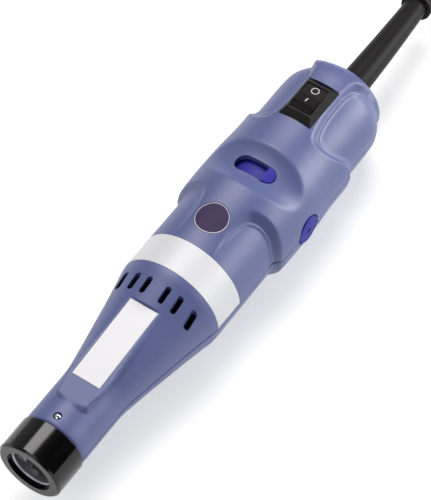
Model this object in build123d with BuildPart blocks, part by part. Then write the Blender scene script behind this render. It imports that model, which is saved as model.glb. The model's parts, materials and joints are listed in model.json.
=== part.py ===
from build123d import *
from math import atan2, cos, degrees, hypot, pi, radians, sin, sqrt, tan
import os

# Handheld homogenizer: a slim mains rotary drive that turns a plug-in dispersing probe.
# Millimetres. +Y runs along the tool from the nose to the tail, +Z is up, through the switch.
# The origin is the centre of the collar's front face. The tool lies on the flat under its grip.

os.makedirs("parts", exist_ok=True)

# Body: radii and stations along the tool
nose_r = 13.4
band_r = 22.3
grip_r = 25.3
waist_r = 24.6
spine_r = 24.5
tail_r = 22.2
shell_front = 15.2
cone_start = 42.0
cone_end = 88.0
swell_start = 107.0
grip_start = 134.0
grip_end = 163.0
waist_y = 173.0
tail_round_start = 196.0
tail_edge_y = 208.5
tail_edge_r = 19.4
shell_end = 216.0
end_face_r = 9.0
belly_z = -24.0
parting_gap = 0.16
fit_gap = 0.05
seat_gap = 0.3

# Cavity inside the shells
cavity_r = 19.95
side_hollow_r = 22.0
side_hollow_start = 136.0
side_hollow_end = 171.0
side_hollow_top = 8.0
wall = 2.3

# Arch recesses beside the badge, and pockets beside the switch
arch_ridge = 8.8
arch_end = 133.4
arch_side_end = 130.3
arch_corner = 6.0
pocket_spine = 8.1
pocket_start = 172.0
pocket_side_start = 181.5
pocket_end = 209.6
pocket_corner = 4.5

# Rear edge of the spine that carries the switch
spine_end = 206.5
spine_edge_y = 210.2
spine_edge_r = 22.0
spine_foot_y = 213.4
spine_foot_r = 17.0

# Thumb scoop and speed slot
slot_y = 149.5
slot_length = 18.5
slot_width = 7.9
scoop_floor_z = 22.1
scoop_cross_radius = 31.7
scoop_along_radius = 20.2

# Cooling slots
vent_y = 82.0
vent_length = 7.5
vent_width = 2.1
vent_angles = (-50.0, -28.7, -12.0, 12.0, 28.7, 50.0)

# Labels and badge
band_label_start = 91.6
band_label_end = 106.1
label_thickness = 0.4
nose_label_start = 37.2
nose_label_end = 74.8
nose_label_width = 12.5
nose_label_z = 14.65
nose_label_slope = 0.0906
pad_start = 26.6
pad_width = 15.2
badge_y = 119.8
badge_r = 6.9
badge_sink = 0.15
badge_thickness = 0.5
plate_length = 30.0
plate_width = 11.0
plate_thickness = 0.33
plate_y = 148.0

# Nose: collar, socket sleeve, ball catch
collar_r = 14.0
collar_length = 15.0
mouth_r = 9.75
mouth_depth = 2.0
mouth_relief = 0.25
sleeve_r = 10.7
sleeve_nose_r = 9.7
sleeve_front = 2.2
sleeve_step = 6.0
sleeve_end = 57.0
socket_r = 8.7
socket_floor = 27.0
flange_r = 12.4
flange_start = 50.0
flange_end = 54.0
ball_y = 19.5
ball_r = 1.5
ball_z = 12.25
ball_travel = 0.6

# Rotor
spindle_r = 3.0
spindle_front = 14.0
spindle_end = 67.0
dogs_r = 7.4
dogs_front = 3.5
dogs_root = 7.5
dogs_end = 24.0
dog_count = 4
dog_width = 3.2
coupling_r = 7.4
coupling_start = 60.0
coupling_end = 77.0
shaft_front = 69.0
shaft_end = 163.0
bearing_r = 9.5
bearing_width = 6.0
bearing_b_start = 47.0
fan_r = 16.5
fan_hub_r = 5.2
fan_plate = 1.2
fan_start = 79.0
fan_end = 87.0
fan_blades = 12
bracket_start = 90.0
core_start = 102.0
core_end = 130.0
armature_r = 11.4
field_bore_r = 12.0
field_r = 18.6
commutator_start = 138.0
commutator_end = 148.0
commutator_r = 6.5
commutator_bars = 16
rear_bearing_r = 8.5
rear_rib_start = 156.5
rear_rib_end = 161.5
bush_r = 10.0
holder_end_x = 16.5
brush_inner_x = 6.8

# Rocker switch
switch_y = 187.5
bezel_length = 21.4
bezel_width = 14.6
bezel_edge_z = 23.5
bezel_top = 26.4
bezel_top_length = 15.6
bezel_top_width = 11.2
bezel_seat_z = 22.3
switch_body_length = 19.4
switch_body_width = 12.6
switch_bottom = 9.0
switch_hollow_bottom = 16.0
rocker_r = 9.4
rocker_width = 9.6
rocker_gap = 0.25
rocker_pivot_z = 19.9
rocker_pin_r = 0.8
rocker_edge_angle = 39.3
rocker_skirt_angle = 57.0
rocker_dip = 0.6
rocker_tilt = 11.1
terminal_bottom = 2.0
terminal_x = 3.5
terminal_spacing = 11.0

# Speed control
blade_outer_r = 19.6
blade_thickness = 1.5
blade_overlap = 0.7
slider_travel_degrees = 28.0
nub_width = 4.8
nub_top_r = 23.2
nub_rest_x = 6.7
peg_tip_r = 13.0
pot_width = 16.0
pot_top = 13.9
pot_bottom = 10.3
pot_front = 143.6
pot_slot_floor = 11.8

# Side button
button_y = 150.0
button_r = 6.4
button_face_x = 25.5
button_flange_r = 7.1
button_flange_outer_x = 20.4
button_flange_inner_x = 19.2
button_stem_r = 1.2
button_travel = 1.5
button_spring_r = 2.4
button_hole_gap = 0.25
switch_case_x = 16.4
switch_case_inner_x = 10.0
switch_case_front = 147.2
switch_case_rear = 155.2

# Circuit board
board_top = -7.0
board_thickness = 0.8
board_width = 31.0
board_start = 163.0
board_end = 200.5
board_screw_x = 12.5
board_screw_y = 196.5

# Shell screws: half spacing, station and the height of the head's seat
shell_screw_places = ((11.4, 70.0, -8.0), (15.0, 159.0, -11.0), (13.3, 206.0, -8.5))
shell_screw_r = 1.25
shell_screw_head_r = 2.3
shell_screw_head = 1.8
shell_screw_tip = 6.0
boss_r = 3.4

# Strain relief and cord
cord_d = 6.2
boot_root_r = 6.5
boot_tip_r = 4.8
boot_ring_r = 6.7
boot_end = (-2.6, 276.6, -4.0)
boot_neck_r = 5.0
boot_flange_r = 7.5
boot_flange_start = 209.6
boot_flange_end = 212.0
clamp_start = 202.6
clamp_end = 207.4
clamp_half_width = 9.4
clamp_screw_x = 6.6
lead_inner_front = 201.8

# Put-away hank of the cord: loops drawn in at the waist, spiralling in and out, four layers deep
hank_centre = (1.0, 400.0)
hank_half_run = 48.0
hank_inner_r = 19.0
hank_pitch = 7.1
hank_layer_rise = 6.8
hank_draw = 12.0
hank_turns = 4
tie_width = 10.0
tie_thickness = 0.8
tie_gap = 0.3

# Plug: where the cord enters it, over the far fold of the hank
plug_entry_x = -5.5
plug_entry_y = 440.0
plug_width = 35.0
plug_thickness = 13.7
plug_length = 33.0
plug_pin_r = 2.0
plug_pin_length = 19.0
plug_pin_spacing = 19.0


def across(y):
    """Plane square to the tool at station y: local x is +X and local y is +Z."""
    return Plane.XZ.offset(-y)


def turned_ring(y0, y1, inner, outer):
    """Plain ring turned about the tool's axis."""
    with BuildPart() as ring:
        with BuildSketch(Plane.XY):
            with Locations(((inner + outer) / 2, (y0 + y1) / 2)):
                Rectangle(outer - inner, y1 - y0)
        revolve(axis=Axis.Y)
    return ring.part


def keep(part, name):
    """Labels a finished piece and writes it."""
    part.label = name
    export_step(part, f"parts/{name}.step")


def cone_radius(y):
    """Outer radius of the nose and cone at station y."""
    share = (y - cone_start) / (cone_end - cone_start)
    return nose_r + (band_r - nose_r) * min(max(share, 0), 1)


def label_plane_z(y):
    """Height of the nose label's face at station y."""
    return nose_label_z + nose_label_slope * (y - nose_label_start)


# Outer form, before it is hollowed and split
with BuildPart() as core:
    with BuildSketch(Plane.XY):
        with BuildLine():
            nose_line = Polyline(
                (0, shell_front),
                (nose_r, shell_front),
                (nose_r, cone_start),
                (band_r, cone_end),
                (band_r, swell_start),
                (tail_r, waist_y),
                (tail_r, tail_round_start),
            )
            side = TangentArc(
                (tail_r, tail_round_start), (tail_edge_r, tail_edge_y), tangent=(0, 1)
            )
            rim = TangentArc(
                (tail_edge_r, tail_edge_y), (end_face_r, shell_end), tangent=side % 1
            )
            Polyline((end_face_r, shell_end), (0, shell_end), (0, shell_front))
        make_face()
    revolve(axis=Axis.Y)

with BuildPart() as arch_cutter:
    with BuildSketch(Plane.XY.offset(-40)):
        with BuildLine():
            Polyline(
                (arch_ridge + 1.2, swell_start - 2),
                (arch_ridge - 0.4, (swell_start + arch_end) / 2),
                (arch_ridge, arch_end),
                (arch_ridge + 9, arch_end),
                (grip_r + 3, arch_side_end - 1),
                (grip_r + 3, swell_start - 2),
                close=True,
            )
        make_face()
        corner = [v for v in vertices() if abs(v.X - arch_ridge) < 0.1 and abs(v.Y - arch_end) < 0.1]
        fillet(corner, radius=arch_corner)
    extrude(amount=80)
    mirror(about=Plane.YZ)

with BuildPart() as pocket_cutter:
    with BuildSketch(Plane.XY.offset(-40)):
        with BuildLine():
            Polyline(
                (pocket_spine, pocket_start),
                (pocket_spine + 7, pocket_start - 0.5),
                (grip_r + 1, pocket_side_start),
                (grip_r + 1, shell_end + 2),
                (pocket_spine + 10.5, shell_end + 2),
                (pocket_spine + 9, pocket_end),
                (pocket_spine + 0.8, pocket_end - 2),
                close=True,
            )
        make_face()
        inner = [v for v in vertices() if v.X < pocket_spine + 2]
        fillet(inner, radius=pocket_corner)
    extrude(amount=80)
    mirror(about=Plane.YZ)

with BuildPart() as swell:
    with BuildSketch(Plane.XY):
        with BuildLine():
            Polyline(
                (0, swell_start),
                (band_r, swell_start),
                (grip_r - 0.1, grip_start),
                (grip_r, (grip_start + grip_end) / 2),
                (grip_r - 0.3, grip_end),
                (waist_r, waist_y),
                (spine_r, spine_end),
            )
            TangentArc((spine_r, spine_end), (spine_edge_r, spine_edge_y), tangent=(0, 1))
            Polyline(
                (spine_edge_r, spine_edge_y),
                (spine_foot_r, spine_foot_y),
                (0, spine_foot_y),
                (0, swell_start),
            )
        make_face()
    revolve(axis=Axis.Y)
    add(arch_cutter.part, mode=Mode.SUBTRACT)
    add(pocket_cutter.part, mode=Mode.SUBTRACT)

with BuildPart() as label_pad:
    with BuildSketch(Plane.YZ):
        with BuildLine():
            Polyline(
                (pad_start, nose_r / 2),
                (pad_start, label_plane_z(pad_start)),
                (nose_label_end + 0.6, label_plane_z(nose_label_end + 0.6)),
                (nose_label_end + 0.6, nose_r / 2),
                close=True,
            )
        make_face()
    extrude(amount=pad_width / 2, both=True)

with BuildPart() as outer:
    add(core.part)
    add(swell.part)
    add(label_pad.part)
    with Locations((0, slot_y, scoop_floor_z - scoop_cross_radius)):
        Torus(
            scoop_cross_radius + scoop_along_radius,
            scoop_along_radius,
            rotation=(90, 0, 0),
            mode=Mode.SUBTRACT,
        )
    with BuildSketch(Plane.XY.offset(belly_z)):
        with Locations((0, slot_y)):
            Rectangle(2 * grip_r, 180)
    extrude(amount=-10, mode=Mode.SUBTRACT)

# Hollow: seats for the sleeve, motor bracket, stator and rear bearing bush
with BuildPart() as cavity:
    with BuildSketch(Plane.XY):
        with BuildLine():
            Polyline(
                (0, shell_front - 1),
                (sleeve_r + fit_gap, shell_front - 1),
                (sleeve_r + fit_gap, flange_start - fit_gap),
                (flange_r + 0.1, flange_start - fit_gap),
                (flange_r + 0.1, flange_end + fit_gap),
                (sleeve_r + fit_gap, flange_end + fit_gap),
                (sleeve_r + fit_gap, sleeve_end + seat_gap),
                (cone_radius(sleeve_end) - wall, sleeve_end + seat_gap),
                (band_r - wall - 1.1, cone_end),
                (cavity_r, bracket_start - fit_gap),
                (cavity_r, core_start - 1),
                (field_r + fit_gap, core_start - 1),
                (field_r + fit_gap, core_end + 1),
                (cavity_r, core_end + 1),
                (cavity_r, rear_rib_start),
                (bush_r + fit_gap, rear_rib_start),
                (bush_r + fit_gap, rear_rib_end),
                (cavity_r, rear_rib_end),
                (cavity_r, tail_round_start),
                (tail_edge_r - 3.2, tail_edge_y - 1),
                (boot_flange_r + 0.2, boot_flange_start - 0.2),
                (boot_flange_r + 0.2, boot_flange_end + 0.1),
                (boot_neck_r + 0.1, boot_flange_end + 0.1),
                (boot_neck_r + 0.1, shell_end + 1),
                (0, shell_end + 1),
                close=True,
            )
        make_face()
    revolve(axis=Axis.Y)

air_hole_places = [(sx * 9.0, sz * 11.8) for sx in (-1, 1) for sz in (-1, 1)]


def screw_bosses(side):
    """Screw bosses of one half, from the parting plane to the wall, clipped to the outer form."""
    with BuildPart() as bosses:
        with BuildSketch(Plane.XY.offset(side * parting_gap / 2)):
            for half_x, y, seat_z in shell_screw_places:
                with Locations((-half_x, y), (half_x, y)):
                    Circle(boss_r)
        extrude(amount=side * band_r)
        add(outer.part, mode=Mode.INTERSECT)
    return bosses.part


def screw_clearance(side):
    """What the shell screws need: blind pilots above, clearance holes and head wells below."""
    with BuildPart() as clearance:
        for half_x, y, seat_z in shell_screw_places:
            if side > 0:
                with BuildSketch(Plane.XY.offset(-1)):
                    with Locations((-half_x, y), (half_x, y)):
                        Circle(shell_screw_r + fit_gap)
                extrude(amount=shell_screw_tip + 1.5)
            else:
                with BuildSketch(Plane.XY.offset(1)):
                    with Locations((-half_x, y), (half_x, y)):
                        Circle(shell_screw_r + 0.15)
                extrude(amount=seat_z - 1.1)
                with BuildSketch(Plane.XY.offset(seat_z)):
                    with Locations((-half_x, y), (half_x, y)):
                        Circle(shell_screw_head_r + 0.3)
                extrude(amount=-2 * band_r)
    return clearance.part


def side_hollow(side):
    """Rings cored out of the thick grip on both sides of the rear bearing rib."""
    with BuildPart() as hollow:
        add(turned_ring(side_hollow_start, rear_rib_start, cavity_r - 1, side_hollow_r))
        add(turned_ring(rear_rib_end, side_hollow_end, cavity_r - 1, side_hollow_r))
        if side > 0:
            with BuildSketch(Plane.XY.offset(side_hollow_top)):
                with Locations((0, (side_hollow_start + side_hollow_end) / 2)):
                    Rectangle(3 * grip_r, side_hollow_end)
            extrude(amount=grip_r, mode=Mode.SUBTRACT)
    return hollow.part


def vent_slots(side):
    """Cooling slots of one half, square to the cone round the fan."""
    with BuildPart() as slots:
        for angle in vent_angles:
            turn = radians(angle)
            outward = (sin(turn), 0, side * cos(turn))
            with BuildSketch(Plane(origin=(0, vent_y, 0), x_dir=(0, 1, 0), z_dir=outward).offset(fan_r)):
                SlotOverall(vent_length, vent_width)
            extrude(amount=band_r)
    return slots.part


def shell_half(side):
    """One half of the body: hollowed, split on the parting plane, with its bosses and slots."""
    with BuildPart() as half:
        add(outer.part)
        split(
            bisect_by=Plane.XY.offset(side * parting_gap / 2),
            keep=Keep.TOP if side > 0 else Keep.BOTTOM,
        )
        add(cavity.part, mode=Mode.SUBTRACT)
        add(side_hollow(side), mode=Mode.SUBTRACT)
        with BuildSketch(across(rear_rib_start - 0.5)):
            with Locations(*air_hole_places):
                Circle(2.6)
        extrude(amount=-(rear_rib_end - rear_rib_start + 1), mode=Mode.SUBTRACT)
        add(vent_slots(side), mode=Mode.SUBTRACT)
        add(screw_bosses(side))
        add(screw_clearance(side), mode=Mode.SUBTRACT)
        with BuildSketch(Plane.YZ.offset(button_flange_inner_x - button_travel)):
            with Locations((button_y, 0)):
                Circle(button_r + button_hole_gap)
        extrude(amount=grip_r, mode=Mode.SUBTRACT)
        with BuildSketch(Plane.YZ.offset(button_flange_inner_x - button_travel - 0.3)):
            with Locations((button_y, 0)):
                Circle(button_flange_r + 0.3)
        flange_room = button_flange_outer_x - button_flange_inner_x + button_travel + 0.5
        extrude(amount=flange_room, mode=Mode.SUBTRACT)
    return half.part


def swell_layer(depth_inner, depth_outer):
    """Layer between two depths under the sloping top of the grip's front."""
    slope = (grip_r - 0.1 - band_r) / (grip_start - swell_start)
    y0 = badge_y - 9
    y1 = badge_y + 9
    r0 = band_r + slope * (y0 - swell_start)
    r1 = band_r + slope * (y1 - swell_start)
    with BuildPart() as layer:
        with BuildSketch(Plane.XY):
            with BuildLine():
                Polyline(
                    (r0 - depth_inner, y0),
                    (r1 - depth_inner, y1),
                    (r1 - depth_outer, y1),
                    (r0 - depth_outer, y0),
                    close=True,
                )
            make_face()
        revolve(axis=Axis.Y)
    return layer.part


def sector(inner, outer_edge, angle_0, angle_1):
    """Ring sector round the tool's axis, its angles measured from +Z towards +X."""
    def at(radius, angle):
        return (radius * sin(radians(angle)), radius * cos(radians(angle)))

    middle = (angle_0 + angle_1) / 2
    with BuildSketch() as drawn:
        with BuildLine():
            Line(at(inner, angle_0), at(outer_edge, angle_0))
            ThreePointArc(at(outer_edge, angle_0), at(outer_edge, middle), at(outer_edge, angle_1))
            Line(at(outer_edge, angle_1), at(inner, angle_1))
            ThreePointArc(at(inner, angle_1), at(inner, middle), at(inner, angle_0))
        make_face()
    return drawn.sketch


# Upper shell
with BuildPart() as badge_recess:
    with BuildSketch(Plane.XY.offset(band_r - 5)):
        with Locations((0, badge_y)):
            Circle(badge_r + 0.2)
    extrude(amount=10)
    add(swell_layer(badge_sink + badge_thickness + 0.02, -2), mode=Mode.INTERSECT)

with BuildPart() as upper_shell:
    add(shell_half(1))
    with BuildSketch(Plane.XY.offset(14)):
        with Locations((0, slot_y)):
            SlotOverall(slot_length, slot_width)
    extrude(amount=14, mode=Mode.SUBTRACT)
    with BuildSketch(Plane.XY.offset(14)):
        with Locations((0, switch_y)):
            Rectangle(switch_body_width + 0.3, switch_body_length + 0.3)
    extrude(amount=14, mode=Mode.SUBTRACT)
    with BuildSketch(Plane.XY.offset(bezel_seat_z - fit_gap)):
        with Locations((0, switch_y)):
            Rectangle(bezel_width + 0.4, bezel_length + 0.4)
    extrude(amount=6, mode=Mode.SUBTRACT)
    add(badge_recess.part, mode=Mode.SUBTRACT)
    with BuildSketch(Plane.YZ):
        with BuildLine():
            Polyline(
                (nose_label_start - 0.2, label_plane_z(nose_label_start) - 0.5),
                (nose_label_end + 0.2, label_plane_z(nose_label_end) - 0.5),
                (nose_label_end + 0.2, band_r + 3),
                (nose_label_start - 0.2, band_r + 3),
                close=True,
            )
        make_face()
    extrude(amount=nose_label_width / 2 + 0.2, both=True, mode=Mode.SUBTRACT)
    add(
        turned_ring(band_label_start - 0.15, band_label_end + 0.15, band_r - label_thickness, band_r + 1),
        mode=Mode.SUBTRACT,
    )
    with BuildSketch(Plane.XY.offset(ball_z - ball_r - 1)):
        with Locations((0, ball_y)):
            Circle(ball_r + 0.3)
    extrude(amount=6, mode=Mode.SUBTRACT)
    with BuildSketch(across(pot_front - 2.55)):
        with Locations((0, (pot_bottom + cavity_r) / 2)):
            Rectangle(pot_width, cavity_r - pot_bottom)
    extrude(amount=-2.5)
keep(upper_shell.part, "upper_shell")

# Lower shell
with BuildPart() as lower_shell:
    add(shell_half(-1))
    with BuildSketch(across(board_start + 0.4)):
        with Locations((0, (board_top - board_thickness - cavity_r) / 2)):
            Rectangle(2 * board_screw_x, cavity_r + board_top - board_thickness)
    extrude(amount=-2)
    with BuildSketch(Plane.XY.offset(board_top - board_thickness)):
        with Locations((-board_screw_x, board_screw_y), (board_screw_x, board_screw_y)):
            Circle(2.8)
    extrude(amount=-9.5)
    with BuildSketch(Plane.XY.offset(-cord_d / 2 - 0.1)):
        with Locations((0, (clamp_start + clamp_end) / 2)):
            Rectangle(2 * clamp_half_width, clamp_end - clamp_start)
    extrude(amount=-12)
    with BuildSketch(Plane.XY.offset(1)):
        with Locations((0, (clamp_start + clamp_end) / 2)):
            with GridLocations(2 * clamp_screw_x, 1, 2, 1):
                Circle(1.05)
    extrude(amount=-9, mode=Mode.SUBTRACT)
    with BuildSketch(Plane.XY.offset(1)):
        with Locations((-board_screw_x, board_screw_y), (board_screw_x, board_screw_y)):
            Circle(1.05)
    extrude(amount=board_top - 7, mode=Mode.SUBTRACT)
    with BuildSketch(Plane.XY.offset(belly_z)):
        with Locations((0, plate_y)):
            Rectangle(plate_width + 0.4, plate_length + 0.4)
    extrude(amount=plate_thickness + 0.07, mode=Mode.SUBTRACT)
keep(lower_shell.part, "lower_shell")

# Shell screws: pan heads below, shanks up through the parting plane
with BuildPart() as shell_screws:
    for half_x, y, seat_z in shell_screw_places:
        for x in (-half_x, half_x):
            with BuildSketch(Plane.XY.offset(seat_z)):
                with Locations((x, y)):
                    Circle(shell_screw_head_r)
            extrude(amount=-shell_screw_head)
            with BuildSketch(Plane.XY.offset(seat_z)):
                with Locations((x, y)):
                    Circle(shell_screw_r)
            extrude(amount=shell_screw_tip - seat_z)
            with BuildSketch(Plane.XY.offset(seat_z - shell_screw_head)):
                with Locations((x, y)):
                    Rectangle(3.4, 0.7)
                    Rectangle(0.7, 3.4)
            extrude(amount=0.9, mode=Mode.SUBTRACT)
keep(shell_screws.part, "shell_screws")

# Collar: gloss black ring in front of the shells, round the sleeve
with BuildPart() as nose_collar:
    with BuildSketch(Plane.XY):
        with BuildLine():
            Polyline(
                (mouth_r, 0),
                (collar_r - 0.9, 0),
                (collar_r, 0.9),
                (collar_r, collar_length - 0.3),
                (collar_r - 0.3, collar_length),
                (sleeve_r + fit_gap, collar_length),
                (sleeve_r + fit_gap, sleeve_step - fit_gap),
                (sleeve_nose_r + mouth_relief, sleeve_step - fit_gap),
                (sleeve_nose_r + mouth_relief, mouth_depth),
                (mouth_r, mouth_depth),
                close=True,
            )
        make_face()
    revolve(axis=Axis.Y)
keep(nose_collar.part, "nose_collar")

# Socket sleeve: turned tube that takes the probe in front and the bearings behind
with BuildPart() as socket_sleeve:
    with BuildSketch(Plane.XY):
        with BuildLine():
            Polyline(
                (socket_r + 0.5, sleeve_front),
                (sleeve_nose_r - 0.2, sleeve_front),
                (sleeve_nose_r, sleeve_front + 0.2),
                (sleeve_nose_r, sleeve_step),
                (sleeve_r, sleeve_step),
                (sleeve_r, flange_start),
                (flange_r, flange_start),
                (flange_r, flange_end),
                (sleeve_r, flange_end),
                (sleeve_r, sleeve_end),
                (bearing_r + 0.02, sleeve_end),
                (bearing_r + 0.02, bearing_b_start + bearing_width + 1.25),
                (bearing_r + 0.4, bearing_b_start + bearing_width + 1.25),
                (bearing_r + 0.4, bearing_b_start + bearing_width + 0.05),
                (bearing_r + 0.02, bearing_b_start + bearing_width + 0.05),
                (bearing_r + 0.02, socket_floor),
                (socket_r, socket_floor),
                (socket_r, sleeve_front + 0.5),
                close=True,
            )
        make_face()
    revolve(axis=Axis.Y)
    with BuildSketch(Plane.XY.offset(socket_r + 0.5)):
        with Locations((0, ball_y)):
            Circle(ball_r + 0.3)
    extrude(amount=4, mode=Mode.SUBTRACT)
keep(socket_sleeve.part, "socket_sleeve")

# Snap ball and its spring, in the wall of the nose
with BuildPart() as snap_ball:
    with Locations((0, ball_y, ball_z)):
        Sphere(ball_r)
keep(snap_ball.part, "snap_ball")

with BuildPart() as ball_spring:
    with BuildSketch(Plane.XY.offset(socket_r + 0.55)):
        with Locations((0, ball_y)):
            Circle(1.3)
            Circle(0.8, mode=Mode.SUBTRACT)
    extrude(amount=ball_z - ball_r + 0.15 - socket_r - 0.55)
keep(ball_spring.part, "ball_spring")


# Bearings
def ball_bearing(y0, bore, outer_r):
    """Closed ball bearing: outer ring, shields set back from both faces, inner ring."""
    mid_in = bore + (outer_r - bore) * 0.3
    mid_out = bore + (outer_r - bore) * 0.72
    with BuildPart() as bearing:
        with BuildSketch(Plane.XY):
            with BuildLine():
                Polyline(
                    (bore + 0.03, y0),
                    (mid_in, y0),
                    (mid_in, y0 + 0.4),
                    (mid_out, y0 + 0.4),
                    (mid_out, y0),
                    (outer_r, y0),
                    (outer_r, y0 + bearing_width),
                    (mid_out, y0 + bearing_width),
                    (mid_out, y0 + bearing_width - 0.4),
                    (mid_in, y0 + bearing_width - 0.4),
                    (mid_in, y0 + bearing_width),
                    (bore + 0.03, y0 + bearing_width),
                    close=True,
                )
            make_face()
        revolve(axis=Axis.Y)
    return bearing.part


with BuildPart() as spindle_bearings:
    add(ball_bearing(socket_floor + 0.02, spindle_r, bearing_r))
    add(ball_bearing(bearing_b_start, spindle_r, bearing_r))
keep(spindle_bearings.part, "spindle_bearings")

bearing_spacer = turned_ring(
    socket_floor + bearing_width + 0.05, bearing_b_start - 0.03, bearing_r - 2, bearing_r - 0.05
)
keep(bearing_spacer, "bearing_spacer")

with BuildPart() as bearing_clip:
    add(
        turned_ring(
            bearing_b_start + bearing_width + 0.1,
            bearing_b_start + bearing_width + 1.2,
            bearing_r - 1.9,
            bearing_r + 0.35,
        )
    )
    with BuildSketch(across(bearing_b_start + bearing_width)):
        with Locations((0, -bearing_r)):
            Rectangle(5, 6)
    extrude(amount=-2, mode=Mode.SUBTRACT)
keep(bearing_clip.part, "bearing_clip")

front_bearing = ball_bearing(bracket_start, spindle_r, bearing_r)
keep(front_bearing, "front_bearing")

rear_bearing = ball_bearing(rear_rib_start - 0.5, spindle_r, rear_bearing_r)
keep(rear_bearing, "rear_bearing")

bearing_bush = turned_ring(rear_rib_start - 0.5, rear_rib_end + 0.5, rear_bearing_r + 0.02, bush_r)
keep(bearing_bush, "bearing_bush")

# Motor bracket: spoked plate that carries the front bearing and lets the air through
with BuildPart() as motor_bracket:
    add(turned_ring(bracket_start, bracket_start + bearing_width, bearing_r + 0.02, bearing_r + 2))
    add(turned_ring(bracket_start, bracket_start + bearing_width, cavity_r - 2.5, cavity_r - 0.05))
    with BuildSketch(across(bracket_start + 1)):
        with PolarLocations((bearing_r + cavity_r) / 2 - 0.3, 4, start_angle=45):
            Rectangle(cavity_r - bearing_r - 3.2, 4)
    extrude(amount=-(bearing_width - 2))
keep(motor_bracket.part, "motor_bracket")

# Rotor: dogs, spindle, coupling, shaft, fan, armature and commutator turn as one
with BuildPart() as drive_dogs:
    add(turned_ring(dogs_root, dogs_end, spindle_r + 0.02, dogs_r))
    with BuildSketch(across(dogs_front)):
        with PolarLocations((spindle_r + dogs_r) / 2 + 0.1, dog_count):
            Rectangle(dogs_r - spindle_r - 0.6, dog_width)
    extrude(amount=-(dogs_root - dogs_front))
keep(drive_dogs.part, "drive_dogs")

with BuildPart() as spindle:
    with BuildSketch(across(spindle_front)):
        Circle(spindle_r)
    extrude(amount=-(spindle_end - spindle_front))
    chamfer(edges().filter_by(GeomType.CIRCLE), length=0.5)
keep(spindle.part, "spindle")

with BuildPart() as spindle_coupling:
    add(turned_ring(coupling_start, coupling_end, spindle_r + 0.02, coupling_r))
    with BuildSketch(across((coupling_start + coupling_end) / 2 - 0.6)):
        with PolarLocations(coupling_r, 6):
            Circle(1.2)
    extrude(amount=-1.2, mode=Mode.SUBTRACT)
keep(spindle_coupling.part, "spindle_coupling")

with BuildPart() as motor_shaft:
    with BuildSketch(across(shaft_front)):
        Circle(spindle_r)
    extrude(amount=-(shaft_end - shaft_front))
    chamfer(edges().filter_by(GeomType.CIRCLE), length=0.5)
keep(motor_shaft.part, "motor_shaft")

with BuildPart() as cooling_fan:
    add(turned_ring(fan_start, fan_end, spindle_r + 0.02, fan_hub_r))
    add(turned_ring(fan_start, fan_start + fan_plate, fan_hub_r - 0.5, fan_r))
    with BuildSketch(across(fan_start + fan_plate / 2)):
        with PolarLocations((fan_hub_r + fan_r) / 2 - 0.5, fan_blades):
            Rectangle(fan_r - fan_hub_r + 0.4, 1.2)
    extrude(amount=-(fan_end - fan_start - fan_plate))
keep(cooling_fan.part, "cooling_fan")

with BuildPart() as armature_core:
    add(turned_ring(core_start, core_end, spindle_r + 0.02, armature_r))
    with BuildSketch(across(core_start - 1)):
        with PolarLocations(armature_r - 1.4, 12):
            Rectangle(3.2, 1.4)
    extrude(amount=-(core_end - core_start + 2), mode=Mode.SUBTRACT)
keep(armature_core.part, "armature_core")

with BuildPart() as armature_windings:
    for y0, y1 in ((core_start - 4.6, core_start - 0.02), (core_end + 0.02, core_end + 5)):
        with BuildSketch(Plane.XY):
            with Locations(((spindle_r + armature_r) / 2 + 0.6, (y0 + y1) / 2)):
                RectangleRounded(armature_r - spindle_r - 2.4, y1 - y0, 1.4)
        revolve(axis=Axis.Y)
keep(armature_windings.part, "armature_windings")

with BuildPart() as commutator:
    add(turned_ring(commutator_start, commutator_end, spindle_r + 0.02, commutator_r))
    with BuildSketch(across(commutator_start - 1)):
        with PolarLocations(commutator_r, commutator_bars):
            Rectangle(1.2, 0.35)
    extrude(amount=-(commutator_end - commutator_start), mode=Mode.SUBTRACT)
keep(commutator.part, "commutator")

# Stator: laminated core with two windows, and the two coils wound through them
window_angle = 61.0
coil_clear_angle = 2.5
coil_r_inner = 12.5
coil_r_outer = 15.6
coil_reach = 5.0
core_rear = core_end + 1
core_front = core_start - 1

with BuildPart() as field_core:
    with BuildSketch(across(core_front)):
        Circle(field_r)
        Circle(field_bore_r, mode=Mode.SUBTRACT)
        for start in (window_angle, 180 + window_angle):
            add(
                sector(field_bore_r - 1, coil_r_outer + 0.3, start, start + 180 - 2 * window_angle),
                mode=Mode.SUBTRACT,
            )
    extrude(amount=-(core_rear - core_front))
keep(field_core.part, "field_core")

with BuildPart() as field_coils:
    for side in (0, 180):
        reach = 90 - coil_clear_angle / 2
        with BuildSketch(across(core_front - coil_reach + 0.5)):
            add(sector(coil_r_inner, coil_r_outer, side - reach, side + reach))
        extrude(amount=-(core_rear - core_front + 2 * coil_reach - 0.5))
        with BuildSketch(across(core_front - 0.1)):
            add(
                sector(
                    coil_r_inner - 1,
                    coil_r_outer + 1,
                    side - window_angle - coil_clear_angle,
                    side + window_angle + coil_clear_angle,
                )
            )
        extrude(amount=-(core_rear - core_front + 0.2), mode=Mode.SUBTRACT)
keep(field_coils.part, "field_coils")

air_baffle = turned_ring(fan_end + 1.4, bracket_start - 0.05, 12.5, cavity_r - 1.2)
keep(air_baffle, "air_baffle")

# Brush gear: a holder, a carbon brush and a spring on each side of the commutator
brush_y = (commutator_start + commutator_end) / 2
holder_size = 7.2
brush_size = 4.8
holder_inner_x = commutator_r + 0.9
holder_back = 0.8
holder_foot = 2.6

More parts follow.
